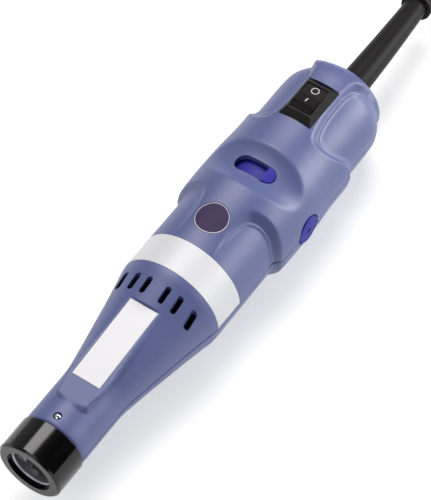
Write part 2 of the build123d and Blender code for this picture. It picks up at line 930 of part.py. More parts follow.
with BuildPart() as brush_holders:
    with BuildSketch(Plane.YZ.offset(holder_inner_x)):
        with Locations((brush_y, 0)):
            Rectangle(holder_size, holder_size)
    extrude(amount=holder_end_x - holder_inner_x)
    with BuildSketch(Plane.YZ.offset(holder_end_x)):
        with Locations((brush_y - holder_size / 2 + holder_foot / 2, 0)):
            Rectangle(holder_foot, holder_size)
    extrude(amount=side_hollow_r - 0.6 - holder_end_x)
    with BuildSketch(Plane.YZ.offset(holder_inner_x)):
        with Locations((brush_y, 0)):
            Rectangle(brush_size + 0.2, brush_size + 0.2)
    extrude(amount=holder_end_x - holder_back - holder_inner_x, mode=Mode.SUBTRACT)
    mirror(about=Plane.YZ)
keep(brush_holders.part, "brush_holders")

brush_tail_x = 12.5
with BuildPart() as carbon_brushes:
    with BuildSketch(Plane.YZ.offset(commutator_r)):
        with Locations((brush_y, 0)):
            Rectangle(brush_size, brush_size)
    extrude(amount=brush_tail_x - commutator_r)
    add(
        turned_ring(brush_y - brush_size, brush_y + brush_size, 0, commutator_r + 0.06),
        mode=Mode.SUBTRACT,
    )
    mirror(about=Plane.YZ)
keep(carbon_brushes.part, "carbon_brushes")

with BuildPart() as brush_springs:
    with BuildSketch(Plane.YZ.offset(brush_tail_x + 0.05)):
        with Locations((brush_y, 0)):
            Circle(2.2)
            Circle(1.6, mode=Mode.SUBTRACT)
    extrude(amount=holder_end_x - holder_back - brush_tail_x - 0.1)
    mirror(about=Plane.YZ)
keep(brush_springs.part, "brush_springs")

# Rocker switch: body with a sloping bezel, rocker on its pin, and four tabs
with BuildPart() as switch_body:
    with BuildSketch(Plane.XY.offset(switch_bottom)):
        with Locations((0, switch_y)):
            Rectangle(switch_body_width, switch_body_length)
    extrude(amount=bezel_seat_z - switch_bottom)
    with BuildSketch(Plane.XY.offset(bezel_seat_z)):
        with Locations((0, switch_y)):
            Rectangle(bezel_width, bezel_length)
    extrude(amount=bezel_edge_z - bezel_seat_z)
    with BuildSketch(Plane.XY.offset(bezel_edge_z)):
        with Locations((0, switch_y)):
            Rectangle(bezel_width, bezel_length)
    with BuildSketch(Plane.XY.offset(bezel_top)):
        with Locations((0, switch_y)):
            Rectangle(bezel_top_width, bezel_top_length)
    loft(ruled=True)
    with BuildSketch(Plane.YZ.offset(-rocker_width / 2 - rocker_gap)):
        with Locations((switch_y, rocker_pivot_z)):
            Circle(rocker_r + rocker_gap)
        with Locations((switch_y, (switch_hollow_bottom + bezel_top) / 2)):
            Rectangle(
                switch_body_length - 1.2, bezel_top - switch_hollow_bottom + 1, mode=Mode.INTERSECT
            )
    extrude(amount=rocker_width + 2 * rocker_gap, mode=Mode.SUBTRACT)
    with BuildSketch(Plane.YZ.offset(-switch_body_width / 2 - 1)):
        with Locations((switch_y, rocker_pivot_z)):
            Circle(rocker_pin_r + fit_gap)
    extrude(amount=switch_body_width + 2, mode=Mode.SUBTRACT)
keep(switch_body.part, "switch_body")

tilt = radians(rocker_tilt)
rocker_plane = Plane(
    origin=(0, switch_y, rocker_pivot_z), x_dir=(0, cos(tilt), -sin(tilt)), z_dir=(1, 0, 0)
)


def rocker_point(angle):
    """Point on the rocker's end arcs, at an angle from its own upright."""
    return (rocker_r * sin(radians(angle)), rocker_r * cos(radians(angle)))


with BuildPart() as switch_rocker:
    with BuildSketch(rocker_plane.offset(-rocker_width / 2)):
        with BuildLine():
            edge = rocker_edge_angle
            skirt = rocker_skirt_angle
            Polyline(
                rocker_point(-edge), (0, rocker_point(edge)[1] - rocker_dip), rocker_point(edge)
            )
            ThreePointArc(rocker_point(edge), rocker_point((edge + skirt) / 2), rocker_point(skirt))
            Polyline(
                rocker_point(skirt),
                (rocker_point(skirt)[0] - 2, 2.2),
                (1.6, -1.7),
                (-1.6, -1.7),
                (-rocker_point(skirt)[0] + 2, 2.2),
                rocker_point(-skirt),
            )
            ThreePointArc(rocker_point(-skirt), rocker_point(-(edge + skirt) / 2), rocker_point(-edge))
        make_face()
    extrude(amount=rocker_width)
    with BuildSketch(Plane.YZ.offset(-switch_body_width / 2 + 0.2)):
        with Locations((switch_y, rocker_pivot_z)):
            Circle(rocker_pin_r)
    extrude(amount=switch_body_width - 0.4)
keep(switch_rocker.part, "switch_rocker")

with BuildPart() as switch_terminals:
    with BuildSketch(Plane.XY.offset(terminal_bottom)):
        with Locations((0, switch_y)):
            with GridLocations(2 * terminal_x, terminal_spacing, 2, 2):
                Rectangle(4.6, 0.8)
    extrude(amount=switch_bottom - terminal_bottom - 0.02)
keep(switch_terminals.part, "switch_terminals")

# Speed control: curved blade with a thumb nub above and a peg into the potentiometer
blade_inner_r = blade_outer_r - blade_thickness
slot_half_angle = degrees(slot_length / 2 / blade_outer_r) + 1.5
nub_angle = degrees(nub_rest_x / (scoop_floor_z - 1))
nub_half_angle = degrees(nub_width / 2 / (scoop_floor_z - 1))
blade_width = slot_width + 2 * blade_overlap
slot_gap = 0.3

with BuildPart() as nub:
    with BuildSketch(across(slot_y - slot_width / 2)):
        add(
            sector(
                blade_outer_r - 0.5, nub_top_r, nub_angle - nub_half_angle, nub_angle + nub_half_angle
            )
        )
    extrude(amount=-slot_width)
    with BuildSketch(Plane.XY.offset(cavity_r - 4)):
        with Locations((0, slot_y)):
            SlotOverall(slot_length - 2 * slot_gap, slot_width - 2 * slot_gap)
    extrude(amount=10, mode=Mode.INTERSECT)

with BuildPart() as speed_slider:
    with BuildSketch(across(slot_y - blade_width / 2)):
        add(
            sector(
                blade_inner_r, blade_outer_r, -slot_half_angle, slot_half_angle + slider_travel_degrees
            )
        )
    extrude(amount=-blade_width)
    add(nub.part)
    with BuildSketch(across(slot_y - 0.8)):
        add(sector(peg_tip_r, blade_inner_r + 0.5, nub_angle - 2.3, nub_angle + 2.3))
    extrude(amount=-1.6)
keep(speed_slider.part, "speed_slider")

with BuildPart() as slide_potentiometer:
    with BuildSketch(Plane.XY.offset(pot_bottom)):
        with Locations((0, (pot_front + rear_rib_start - 0.05) / 2)):
            Rectangle(pot_width, rear_rib_start - 0.05 - pot_front)
    extrude(amount=pot_top - pot_bottom)
    with BuildSketch(Plane.XY.offset(pot_slot_floor)):
        with Locations((0, slot_y)):
            Rectangle(pot_width - 2.4, 2.6)
    extrude(amount=pot_top, mode=Mode.SUBTRACT)
keep(slide_potentiometer.part, "slide_potentiometer")

# Side button, its spring and the switch behind it
stem_end_x = switch_case_x + button_travel + 0.1
with BuildPart() as run_button:
    with BuildSketch(Plane.XY):
        with BuildLine():
            Polyline(
                (0, stem_end_x),
                (button_stem_r, stem_end_x),
                (button_stem_r, button_flange_inner_x),
                (button_flange_r, button_flange_inner_x),
                (button_flange_r, button_flange_outer_x),
                (button_r, button_flange_outer_x),
                (button_r, button_face_x - 0.6),
                (button_r - 0.4, button_face_x - 0.2),
                (1.0, button_face_x),
                (1.0, button_face_x - 0.5),
                (0, button_face_x - 0.5),
                close=True,
            )
        make_face()
    revolve(axis=Axis.Y)
button_place = Location((0, button_y, 0), (0, 0, -90))
button_turned = run_button.part.moved(button_place)
keep(button_turned, "run_button")

with BuildPart() as button_spring:
    with BuildSketch(Plane.YZ.offset(switch_case_x + 0.02)):
        with Locations((button_y, 0)):
            Circle(button_spring_r)
            Circle(button_spring_r - 0.5, mode=Mode.SUBTRACT)
    extrude(amount=button_flange_inner_x - switch_case_x - 0.04)
keep(button_spring.part, "button_spring")

with BuildPart() as button_switch:
    with BuildSketch(Plane.XY.offset(-4.0)):
        with Locations(
            ((switch_case_inner_x + switch_case_x) / 2, (switch_case_front + switch_case_rear) / 2)
        ):
            Rectangle(switch_case_x - switch_case_inner_x, switch_case_rear - switch_case_front)
    extrude(amount=8)
keep(button_switch.part, "button_switch")

# Circuit board and what stands on it
with BuildPart() as circuit_board:
    with BuildSketch(Plane.XY.offset(board_top - board_thickness)):
        with Locations((0, (board_start + board_end) / 2)):
            Rectangle(board_width, board_end - board_start)
        with Locations((-board_screw_x, board_screw_y), (board_screw_x, board_screw_y)):
            Circle(1.1, mode=Mode.SUBTRACT)
    extrude(amount=board_thickness)
keep(circuit_board.part, "circuit_board")

with BuildPart() as board_screws:
    with BuildSketch(Plane.XY.offset(board_top)):
        with Locations((-board_screw_x, board_screw_y), (board_screw_x, board_screw_y)):
            Circle(1.9)
    extrude(amount=1.3)
    with BuildSketch(Plane.XY.offset(board_top)):
        with Locations((-board_screw_x, board_screw_y), (board_screw_x, board_screw_y)):
            Circle(1.0)
    extrude(amount=-5.5)
keep(board_screws.part, "board_screws")

with BuildPart() as heat_sink:
    with BuildSketch(across(169)):
        with Locations((-11, board_top + 0.5)):
            Rectangle(7, 1)
        with Locations((-14, board_top + 5), (-11.6, board_top + 5), (-9.2, board_top + 5)):
            Rectangle(1, 10)
    extrude(amount=-14)
keep(heat_sink.part, "heat_sink")

with BuildPart() as suppression_capacitor:
    with BuildSketch(Plane.XY.offset(board_top)):
        with Locations((9.8, 174)):
            RectangleRounded(5.5, 13, 0.8)
    extrude(amount=10.5)
keep(suppression_capacitor.part, "suppression_capacitor")

with BuildPart() as choke:
    with BuildSketch(Plane.XY.offset(board_top)):
        with Locations((9.2, 187.5)):
            Circle(4.4)
            Circle(1.6, mode=Mode.SUBTRACT)
    extrude(amount=7.5)
keep(choke.part, "choke")

# Cord clamp over the lead's inner end, screwed to its pedestal
clamp_y = (clamp_start + clamp_end) / 2
clamp_top = cord_d / 2 + 1.9
with BuildPart() as cord_clamp:
    with BuildSketch(Plane.XY.offset(-cord_d / 2 - 0.08)):
        with Locations((0, clamp_y)):
            Rectangle(2 * clamp_half_width, clamp_end - clamp_start)
            with GridLocations(2 * clamp_screw_x, 1, 2, 1):
                Circle(1.1, mode=Mode.SUBTRACT)
    extrude(amount=clamp_top + cord_d / 2 + 0.08)
    with BuildSketch(across(clamp_start - 1)):
        Circle(cord_d / 2 + 0.05)
        with Locations((0, -cord_d / 2)):
            Rectangle(cord_d + 0.1, cord_d)
    extrude(amount=-(clamp_end - clamp_start + 2), mode=Mode.SUBTRACT)
keep(cord_clamp.part, "cord_clamp")

with BuildPart() as clamp_screws:
    with BuildSketch(Plane.XY.offset(clamp_top)):
        with Locations((-clamp_screw_x, clamp_y), (clamp_screw_x, clamp_y)):
            Circle(1.9)
    extrude(amount=1.3)
    with BuildSketch(Plane.XY.offset(clamp_top)):
        with Locations((-clamp_screw_x, clamp_y), (clamp_screw_x, clamp_y)):
            Circle(1.0)
    extrude(amount=-clamp_top - 7.5)
keep(clamp_screws.part, "clamp_screws")

with BuildPart() as lead_inner:
    with BuildSketch(across(lead_inner_front)):
        Circle(cord_d / 2)
    extrude(amount=-(boot_flange_start - lead_inner_front))
keep(lead_inner.part, "lead_inner")

# Wires inside the body
wire_r = 0.9
rear_tab_y = switch_y + terminal_spacing / 2
front_tab_y = switch_y - terminal_spacing / 2
with BuildPart() as supply_wires:
    with BuildLine():
        FilletPolyline(
            (1.5, lead_inner_front - 0.02, 0),
            (1.5, lead_inner_front - 4, 0),
            (terminal_x, rear_tab_y, -1.6),
            (terminal_x, rear_tab_y, terminal_bottom - 0.02),
            radius=1.4,
        )
    with BuildSketch(across(lead_inner_front - 0.02)):
        with Locations((1.5, 0)):
            Circle(wire_r)
    sweep()
    mirror(about=Plane.YZ)
keep(supply_wires.part, "supply_wires")

wire_hole_x = 9.0
wire_hole_z = 11.8
with BuildPart() as motor_wires:
    with BuildLine():
        FilletPolyline(
            (wire_hole_x, core_rear + coil_reach + 0.05, wire_hole_z),
            (wire_hole_x, board_start + 2, wire_hole_z),
            (terminal_x, front_tab_y - 4, -1.0),
            (terminal_x, front_tab_y, -1.6),
            (terminal_x, front_tab_y, terminal_bottom - 0.02),
            radius=[2.5, 2.0, 1.4],
        )
    with BuildSketch(across(core_rear + coil_reach + 0.05)):
        with Locations((wire_hole_x, wire_hole_z)):
            Circle(wire_r)
    sweep()
    mirror(about=Plane.YZ)
keep(motor_wires.part, "motor_wires")

# Labels and badge
with BuildPart() as band_label:
    with BuildSketch(across(band_label_start)):
        add(sector(band_r - label_thickness + 0.02, band_r, -89.5, 89.5))
    extrude(amount=-(band_label_end - band_label_start))
keep(band_label.part, "band_label")

with BuildPart() as nose_label:
    with BuildSketch(Plane.YZ):
        with BuildLine():
            Polyline(
                (nose_label_start, label_plane_z(nose_label_start) - 0.45),
                (nose_label_end, label_plane_z(nose_label_end) - 0.45),
                (nose_label_end, label_plane_z(nose_label_end) - 0.05),
                (nose_label_start, label_plane_z(nose_label_start) - 0.05),
                close=True,
            )
        make_face()
    extrude(amount=nose_label_width / 2, both=True)
keep(nose_label.part, "nose_label")

with BuildPart() as badge:
    with BuildSketch(Plane.XY.offset(band_r - 5)):
        with Locations((0, badge_y)):
            Circle(badge_r)
    extrude(amount=10)
    add(swell_layer(badge_sink + badge_thickness, badge_sink), mode=Mode.INTERSECT)
keep(badge.part, "badge")

with BuildPart() as rating_label:
    with BuildSketch(Plane.XY.offset(belly_z + 0.02)):
        with Locations((0, plate_y)):
            Rectangle(plate_width, plate_length)
    extrude(amount=plate_thickness)
keep(rating_label.part, "rating_label")

# Strain relief: flange behind the end wall, tapered sleeve and end ring, bending down to the cord
boot_heading = Vector(-0.147, 1, -0.15).normalized()
boot_start = Vector(0, shell_end + 0.05, 0)
boot_tip = Vector(*boot_end)
boot_length = boot_tip.Y - boot_start.Y
boot_ring_length = 3.0


def boot_centre(share):
    """Centre line of the strain relief: a gentle bend that ends on the cord's heading."""
    bend = max(0.0, (share - 0.12) / 0.88)
    return Vector(boot_tip.X * bend**2, boot_start.Y + boot_length * share, boot_tip.Z * bend**2)


with BuildPart() as cord_boot:
    with BuildSketch(across(boot_flange_start)):
        Circle(boot_flange_r)
    extrude(amount=-(boot_flange_end - boot_flange_start))
    with BuildSketch(across(boot_flange_end)):
        Circle(boot_neck_r)
    extrude(amount=-(boot_start.Y - boot_flange_end))
    boot_stations = (0.0, 0.2, 0.4, 0.6, 0.8, 1.0)
    for index, share in enumerate(boot_stations):
        ahead = boot_centre(share + 0.02) - boot_centre(share - 0.02)
        if share == 0.0:
            ahead = Vector(0, 1, 0)
        if share == 1.0:
            ahead = boot_heading
        with BuildSketch(Plane(origin=boot_centre(share), x_dir=(0, 0, 1), z_dir=ahead)):
            Circle(boot_root_r + (boot_tip_r - boot_root_r) * share)
    loft(ruled=True)
    with BuildSketch(Plane(origin=boot_tip, x_dir=(0, 0, 1), z_dir=boot_heading)):
        Circle(boot_ring_r)
    extrude(amount=-boot_ring_length)
keep(cord_boot.part, "cord_boot")


# Hank of the put-away cord: two long runs and two end folds a turn
floor_z = belly_z + tie_thickness + tie_gap + cord_d / 2
hank_fold_r = hank_inner_r + hank_pitch / 2
hank_turn_length = 4 * hank_half_run + 2 * pi * hank_fold_r
run_share = 2 * hank_half_run / hank_turn_length
fold_share = 0.5 - run_share
reversals = [run_share / 2 + 1, run_share / 2 + 2, run_share / 2 + 3]


def hank_radius(turn):
    """Distance from the hank's long axis: least at the first and the last reversal."""
    return hank_inner_r + hank_pitch * min(abs(turn - reversals[0]), abs(turn - reversals[2]))


def hank_height(turn):
    """Height of the cord: one layer is climbed along the run at each reversal."""
    climbed = sum(min(max((turn - r) / run_share + 0.5, 0), 1) for r in reversals)
    return floor_z + hank_layer_rise * climbed


def hank_point(turn):
    """Point of the centre line: a run drawn in at the waist, then a fold, on each side in turn."""
    half = turn % 1
    side = 1
    if half >= 0.5:
        half -= 0.5
        side = -1
    radius = hank_radius(turn)
    if half < run_share:
        along = hank_half_run * (2 * half / run_share - 1)
        out = hank_draw * (1 + cos(pi * along / hank_half_run)) / 2 - radius
    else:
        angle = pi * (half - run_share) / fold_share
        along = hank_half_run + radius * sin(angle)
        out = -radius * cos(angle)
    return Vector(hank_centre[0] + side * out, hank_centre[1] + side * along, hank_height(turn))


def hank_heading(turn):
    """Heading of the centre line: along the tool at both ends, level outside the climbs."""
    if turn in (0, hank_turns):
        return Vector(0, 1, 0)
    step = hank_point(turn + 0.002) - hank_point(turn - 0.002)
    climbing = any(abs(turn - r) < 0.4 * run_share for r in reversals)
    return Vector(step.X, step.Y, step.Z if climbing else 0).normalized()


def biarc_joint(p0, t0, p1, t1):
    """Middle point of the two tangent arcs from p0 to p1, and the heading there."""
    v = p1 - p0
    t = t0 + t1
    a = 2 * (1 - t0.dot(t1))
    d = (-v.dot(t) + sqrt(v.dot(t) ** 2 + a * v.dot(v))) / a
    joint = (p0 + p1 + (t0 - t1) * d) * 0.5
    return joint, ((v - t * d) * (1 / (2 * d))).normalized()


station_shares = [run_share * quarter / 4 for quarter in range(5)] + [run_share + fold_share / 2]
stations = [0.5 * half + share for half in range(2 * hank_turns) for share in station_shares]
stations.append(hank_turns)
cord_ahead = Vector(0, 1, 0)
hank_lead_in = hank_point(0) - cord_ahead * cord_d
hank_lead_out = hank_point(hank_turns) + cord_ahead * cord_d

with BuildPart() as cord_hank:
    with BuildLine() as hank_line:
        Line(hank_lead_in, hank_point(0))
        for index in range(len(stations) - 1):
            start = hank_point(stations[index])
            heading = hank_heading(stations[index])
            end = hank_point(stations[index + 1])
            leaving = hank_heading(stations[index + 1])
            middle, middle_heading = biarc_joint(start, heading, end, leaving)
            TangentArc(start, middle, tangent=heading)
            TangentArc(middle, end, tangent=middle_heading)
        Line(hank_point(hank_turns), hank_lead_out)
    with BuildSketch(Plane(origin=hank_lead_in, x_dir=(0, 0, 1), z_dir=cord_ahead)):
        Circle(cord_d / 2)
    sweep()
keep(cord_hank.part, "cord_hank")

samples = 1400
hank_wire = hank_line.wires()[0]
hank_samples = [hank_wire @ (k / samples) for k in range(samples + 1)]
hank_length = hank_wire.length
apart = int(samples * 2.5 * cord_d / hank_length)
hank_gap = min(
    (hank_samples[i] - hank_samples[j]).length
    for i in range(samples + 1)
    for j in range(i + apart, samples + 1)
)
print("hank length", round(hank_length, 1), "least gap to itself", round(hank_gap - cord_d, 2))
hank_volume = pi * cord_d**2 / 4 * hank_length
print("hank volume / (section x length)", round(cord_hank.part.volume / hank_volume, 4))


def bend_radii(points):
    """Largest even radius for each inner point: 0.45 of the shorter run."""
    runs = [points[i + 1] - points[i] for i in range(len(points) - 1)]
    radii = []
    for before, after in zip(runs[:-1], runs[1:]):
        turn = radians(before.get_angle(after))
        radii.append(0.45 * min(before.length, after.length) / tan(turn / 2))
    return radii


def report_tube(name, points, line, part):
    """Prints the bend radii of a stretch and compares its volume with section times length."""
    length = line.wires()[0].length
    radii = [round(r, 1) for r in bend_radii(points)]
    ratio = part.volume / (pi * cord_d**2 / 4 * length)
    print(name, "radii", radii, "length", round(length, 1), "volume ratio", round(ratio, 4))


# Free stretch from the strain relief down to the hank
lead_points = [
    boot_tip,
    boot_tip + boot_heading * 14.8,
    Vector(-11.5, 304.1, -11.0),
    Vector(-20.95, 315.35, -16.7),
    hank_lead_in - cord_ahead * 15.7,
    hank_lead_in,
]
with BuildPart() as cord_lead:
    with BuildLine() as lead_line:
        FilletPolyline(*lead_points, radius=bend_radii(lead_points))
    with BuildSketch(Plane(origin=boot_tip, x_dir=(0, 0, 1), z_dir=boot_heading)):
        Circle(cord_d / 2)
    sweep()
keep(cord_lead.part, "cord_lead")
report_tube("lead", lead_points, lead_line, cord_lead.part)

# Tail over the hank to the plug, which lies on the far fold
hank_top = hank_height(hank_turns) + cord_d / 2
plug_z = hank_top + tie_gap + plug_thickness / 2
plug_entry = Vector(plug_entry_x, plug_entry_y, plug_z)
tail_points = [
    hank_lead_out,
    hank_lead_out + cord_ahead * 16.1,
    Vector(-21.8, 395.1, 9.75),
    Vector(-10.3, 411.9, 12.8),
    plug_entry - cord_ahead * 13.2,
    plug_entry,
]
with BuildPart() as cord_tail:
    with BuildLine() as tail_line:
        FilletPolyline(*tail_points, radius=bend_radii(tail_points))
    with BuildSketch(Plane(origin=hank_lead_out, x_dir=(0, 0, 1), z_dir=cord_ahead)):
        Circle(cord_d / 2)
    sweep()
keep(cord_tail.part, "cord_tail")
report_tube("tail", tail_points, tail_line, cord_tail.part)

# Tie: a woven strap round the hank's waist
waist_x = [p.X for p in hank_samples if abs(p.Y - hank_centre[1]) < tie_width / 2 + 1]
tie_left = min(waist_x) - cord_d / 2 - tie_gap
tie_right = max(waist_x) + cord_d / 2 + tie_gap
tie_low = floor_z - cord_d / 2 - tie_gap
tie_high = hank_top + tie_gap
tie_corner = cord_d / 2 + tie_gap
with BuildPart() as cord_tie:
    with BuildSketch(across(hank_centre[1] - tie_width / 2)):
        with Locations(((tie_left + tie_right) / 2, (tie_low + tie_high) / 2)):
            RectangleRounded(
                tie_right - tie_left + 2 * tie_thickness,
                tie_high - tie_low + 2 * tie_thickness,
                tie_corner + tie_thickness,
            )
            RectangleRounded(tie_right - tie_left, tie_high - tie_low, tie_corner, mode=Mode.SUBTRACT)
    extrude(amount=-tie_width)
keep(cord_tie.part, "cord_tie")

# Plug: flat two-pin body, narrow at the cord and wide at the pins
plug_neck = 5.5
plug_shoulder = 7.5
plug_shoulder_start = 9.0
plug_wide_start = 23.0
plug_bottom = plug_entry - Vector(0, 0, plug_thickness / 2)
with BuildPart() as plug_body:
    with BuildSketch(Plane(origin=plug_bottom, x_dir=(0, 1, 0), z_dir=(0, 0, 1))):
        with BuildLine():
            Polyline(
                (0, -plug_neck),
                (plug_shoulder_start, -plug_shoulder),
                (plug_wide_start, -plug_width / 2),
                (plug_length, -plug_width / 2 + 1.5),
                (plug_length, plug_width / 2 - 1.5),
                (plug_wide_start, plug_width / 2),
                (plug_shoulder_start, plug_shoulder),
                (0, plug_neck),
                close=True,
            )
        make_face()
        fillet(vertices(), radius=1.4)
    extrude(amount=plug_thickness)
    chamfer(edges().group_by(Axis.Z)[0] + edges().group_by(Axis.Z)[-1], length=1.2)
keep(plug_body.part, "plug_body")

with BuildPart() as plug_pins:
    with BuildSketch(across(plug_entry.Y + plug_length + 0.02)):
        with Locations((plug_entry.X, plug_entry.Z)):
            with GridLocations(plug_pin_spacing, 1, 2, 1):
                Circle(plug_pin_r)
    extrude(amount=-plug_pin_length)
    chamfer(edges().group_by(Axis.Y)[-1], length=0.8)
keep(plug_pins.part, "plug_pins")
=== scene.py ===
# %% [markdown]
# # A handheld homogenizer
# The tool is a slim mains drive: a moulded blue body in two halves, a gloss black ring at
# the nose, bare labels, a thumb scoop with a slider, a rocker switch and a lead. The packed
# CAD model is the fixed frame. Everything built here goes where that model says, in metres.

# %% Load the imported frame
import json
import bpy
import bmesh
import numpy as np
from math import asin, cos, pi, radians, sin, sqrt
from mathutils import Matrix, Vector


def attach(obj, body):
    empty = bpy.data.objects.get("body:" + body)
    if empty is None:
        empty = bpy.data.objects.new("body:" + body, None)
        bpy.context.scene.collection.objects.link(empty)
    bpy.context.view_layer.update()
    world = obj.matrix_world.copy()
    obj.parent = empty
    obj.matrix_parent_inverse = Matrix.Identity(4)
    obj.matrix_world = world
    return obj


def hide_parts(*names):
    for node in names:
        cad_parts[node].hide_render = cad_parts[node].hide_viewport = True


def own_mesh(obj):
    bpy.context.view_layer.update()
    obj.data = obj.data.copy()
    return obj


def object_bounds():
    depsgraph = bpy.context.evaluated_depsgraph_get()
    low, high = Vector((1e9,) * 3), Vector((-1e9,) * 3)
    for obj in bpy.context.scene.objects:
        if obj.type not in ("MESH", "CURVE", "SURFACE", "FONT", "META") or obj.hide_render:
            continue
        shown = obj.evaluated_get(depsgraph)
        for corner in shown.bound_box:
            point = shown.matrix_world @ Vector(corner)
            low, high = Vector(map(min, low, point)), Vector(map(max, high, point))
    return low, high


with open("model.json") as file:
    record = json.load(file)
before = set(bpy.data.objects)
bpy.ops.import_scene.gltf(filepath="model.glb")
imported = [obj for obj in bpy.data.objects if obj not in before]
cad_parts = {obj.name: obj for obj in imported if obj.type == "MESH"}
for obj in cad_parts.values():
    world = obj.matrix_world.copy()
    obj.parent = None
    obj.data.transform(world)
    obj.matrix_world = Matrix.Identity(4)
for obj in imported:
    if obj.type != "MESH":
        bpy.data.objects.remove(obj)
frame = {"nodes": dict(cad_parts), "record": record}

cad_low, cad_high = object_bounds()
scene = bpy.context.scene
nodes = frame["nodes"]
MM = 0.001

# %% [markdown]
# ## The camera
# The photograph looks down on the tool from its right side, with the nose towards the
# lower left corner. A long lens keeps the sides nearly parallel, so the camera stands a
# metre away and the lens is long.

# %% Camera
VIEW_ANGLES = (35.217, 55.122, -0.737)  # azimuth, elevation and roll, in degrees
VIEW_LENS = 183.63
VIEW_AIM = Vector((0.363, 121.386, 0)) * MM
VIEW_DISTANCE = 1.0


def axes_of_view(azimuth, elevation, roll):
    """Right, up and back directions of a camera, from three angles in degrees."""
    az, el, ro = radians(azimuth), radians(elevation), radians(roll)
    back = Vector((cos(el) * sin(az), -cos(el) * cos(az), sin(el)))
    level = Vector((cos(az), sin(az), 0))
    above = back.cross(level)
    right = level * cos(ro) + above * sin(ro)
    up = above * cos(ro) - level * sin(ro)
    return right, up, back


view_right, view_up, view_back = axes_of_view(*VIEW_ANGLES)
camera_data = bpy.data.cameras.new("camera")
camera_data.lens = VIEW_LENS
camera_data.clip_start = 0.05
camera_data.clip_end = 20
camera = bpy.data.objects.new("camera", camera_data)
scene.collection.objects.link(camera)
turn = Matrix((view_right, view_up, view_back)).transposed().to_4x4()
camera.matrix_world = Matrix.Translation(VIEW_AIM + view_back * VIEW_DISTANCE) @ turn
scene.camera = camera
print("camera at", [round(v, 3) for v in camera.matrix_world.translation])

# %% [markdown]
# ## Floor, world and lamps
# The tool lies on a white table that runs out of sight. For the camera the floor's own
# brightness is lifted to white, so that only the soft shadow of the tool shows on it, and
# what the gloss and the metal mirror is the same white table. The sky is brighter low at
# the left than high at the right. Three softboxes light the tool: a broad one overhead, a
# strong window behind it at the right and a weak one in front.

# %% Stage
scene.view_settings.view_transform = "Standard"
FLOOR_Z = cad_low[2]
FLOOR_EDGE = 3.0
FLOOR_LIFT = 0.4
SKY_BRIGHT_SIDE = (-0.9, 0.1, -0.42)
SKY_MIDDLE, SKY_CHANGE = 0.25, 0.27
floor_mesh = bpy.data.meshes.new("floor")
floor_mesh.from_pydata(
    [(u * FLOOR_EDGE, v * FLOOR_EDGE, FLOOR_Z) for u, v in ((-1, -1), (1, -1), (1, 1), (-1, 1))],
    [], [(0, 1, 2, 3)],
)
floor = bpy.data.objects.new("floor", floor_mesh)
scene.collection.objects.link(floor)


def new_material(name):
    """New node material, with its tree and its Principled shader."""
    material = bpy.data.materials.new(name)
    material.use_nodes = True
    return material, material.node_tree, material.node_tree.nodes["Principled BSDF"]


def math_node(tree, operation, *values):
    """Math node with values on its inputs, apart from those given as None."""
    node = tree.nodes.new("ShaderNodeMath")
    node.operation = operation
    for socket, value in zip(node.inputs, values):
        if value is not None:
            socket.default_value = value
    return node


def wire(tree, *links):
    """Joins pairs of sockets, each an output and an input."""
    for source, target in links:
        tree.links.new(source, target)


white_table, tree, shader = new_material("white_table")
shader.inputs["Base Color"].default_value = (0.8, 0.8, 0.8, 1)
shader.inputs["Roughness"].default_value = 0.9
shader.inputs["Specular IOR Level"].default_value = 0.1
rays = tree.nodes.new("ShaderNodeLightPath")
seen = math_node(tree, "MAXIMUM")
seen_through = math_node(tree, "MAXIMUM")
lift = tree.nodes.new("ShaderNodeEmission")
lift.inputs["Color"].default_value = (0.99, 1.0, 1.0, 1)
lift.inputs["Strength"].default_value = FLOOR_LIFT
both = tree.nodes.new("ShaderNodeAddShader")
choose = tree.nodes.new("ShaderNodeMixShader")
wire(
    tree,
    (shader.outputs[0], both.inputs[0]),
    (lift.outputs[0], both.inputs[1]),
    (rays.outputs["Is Camera Ray"], seen.inputs[0]),
    (rays.outputs["Is Glossy Ray"], seen.inputs[1]),
    (seen.outputs[0], seen_through.inputs[0]),
    (rays.outputs["Is Transmission Ray"], seen_through.inputs[1]),
    (seen_through.outputs[0], choose.inputs[0]),
    (shader.outputs[0], choose.inputs[1]),
    (both.outputs[0], choose.inputs[2]),
    (choose.outputs[0], tree.nodes["Material Output"].inputs["Surface"]),
)
floor_mesh.materials.append(white_table)

world = bpy.data.worlds.new("studio")
scene.world = world
world.use_nodes = True
tree = world.node_tree
sky = tree.nodes["Background"]
sky.inputs["Color"].default_value = (0.93, 0.96, 1.0, 1)
sky_ray = tree.nodes.new("ShaderNodeTexCoord")
towards = tree.nodes.new("ShaderNodeVectorMath")
towards.operation = "DOT_PRODUCT"
towards.inputs[1].default_value = SKY_BRIGHT_SIDE
sky_strength = math_node(tree, "MULTIPLY_ADD", None, SKY_CHANGE, SKY_MIDDLE)
wire(
    tree,
    (sky_ray.outputs["Generated"], towards.inputs[0]),
    (towards.outputs["Value"], sky_strength.inputs[0]),
    (sky_strength.outputs[0], sky.inputs["Strength"]),
)


def softbox(name, place, size, watts, tint=(1, 1, 1), target=(0, 0.11, 0)):
    """Rectangular area lamp that looks at a point of the tool."""
    lamp = bpy.data.lights.new(name, "AREA")
    lamp.shape = "RECTANGLE"
    lamp.size, lamp.size_y = size
    lamp.energy = watts
    lamp.color = tint
    holder = bpy.data.objects.new(name, lamp)
    scene.collection.objects.link(holder)
    holder.location = place
    holder.rotation_euler = (Vector(place) - Vector(target)).to_track_quat("Z", "Y").to_euler()


softbox("overhead", (-0.30, 0.56, 1.02), (0.76, 0.5), 8.8, tint=(1.0, 0.95, 0.96))
softbox("window", (0.874, 1.024, 0.4), (0.75, 0.6), 14.5)
softbox("front", (0.0, -0.9, 0.8), (1.0, 0.8), 4.0)
print("floor height", round(FLOOR_Z, 4))

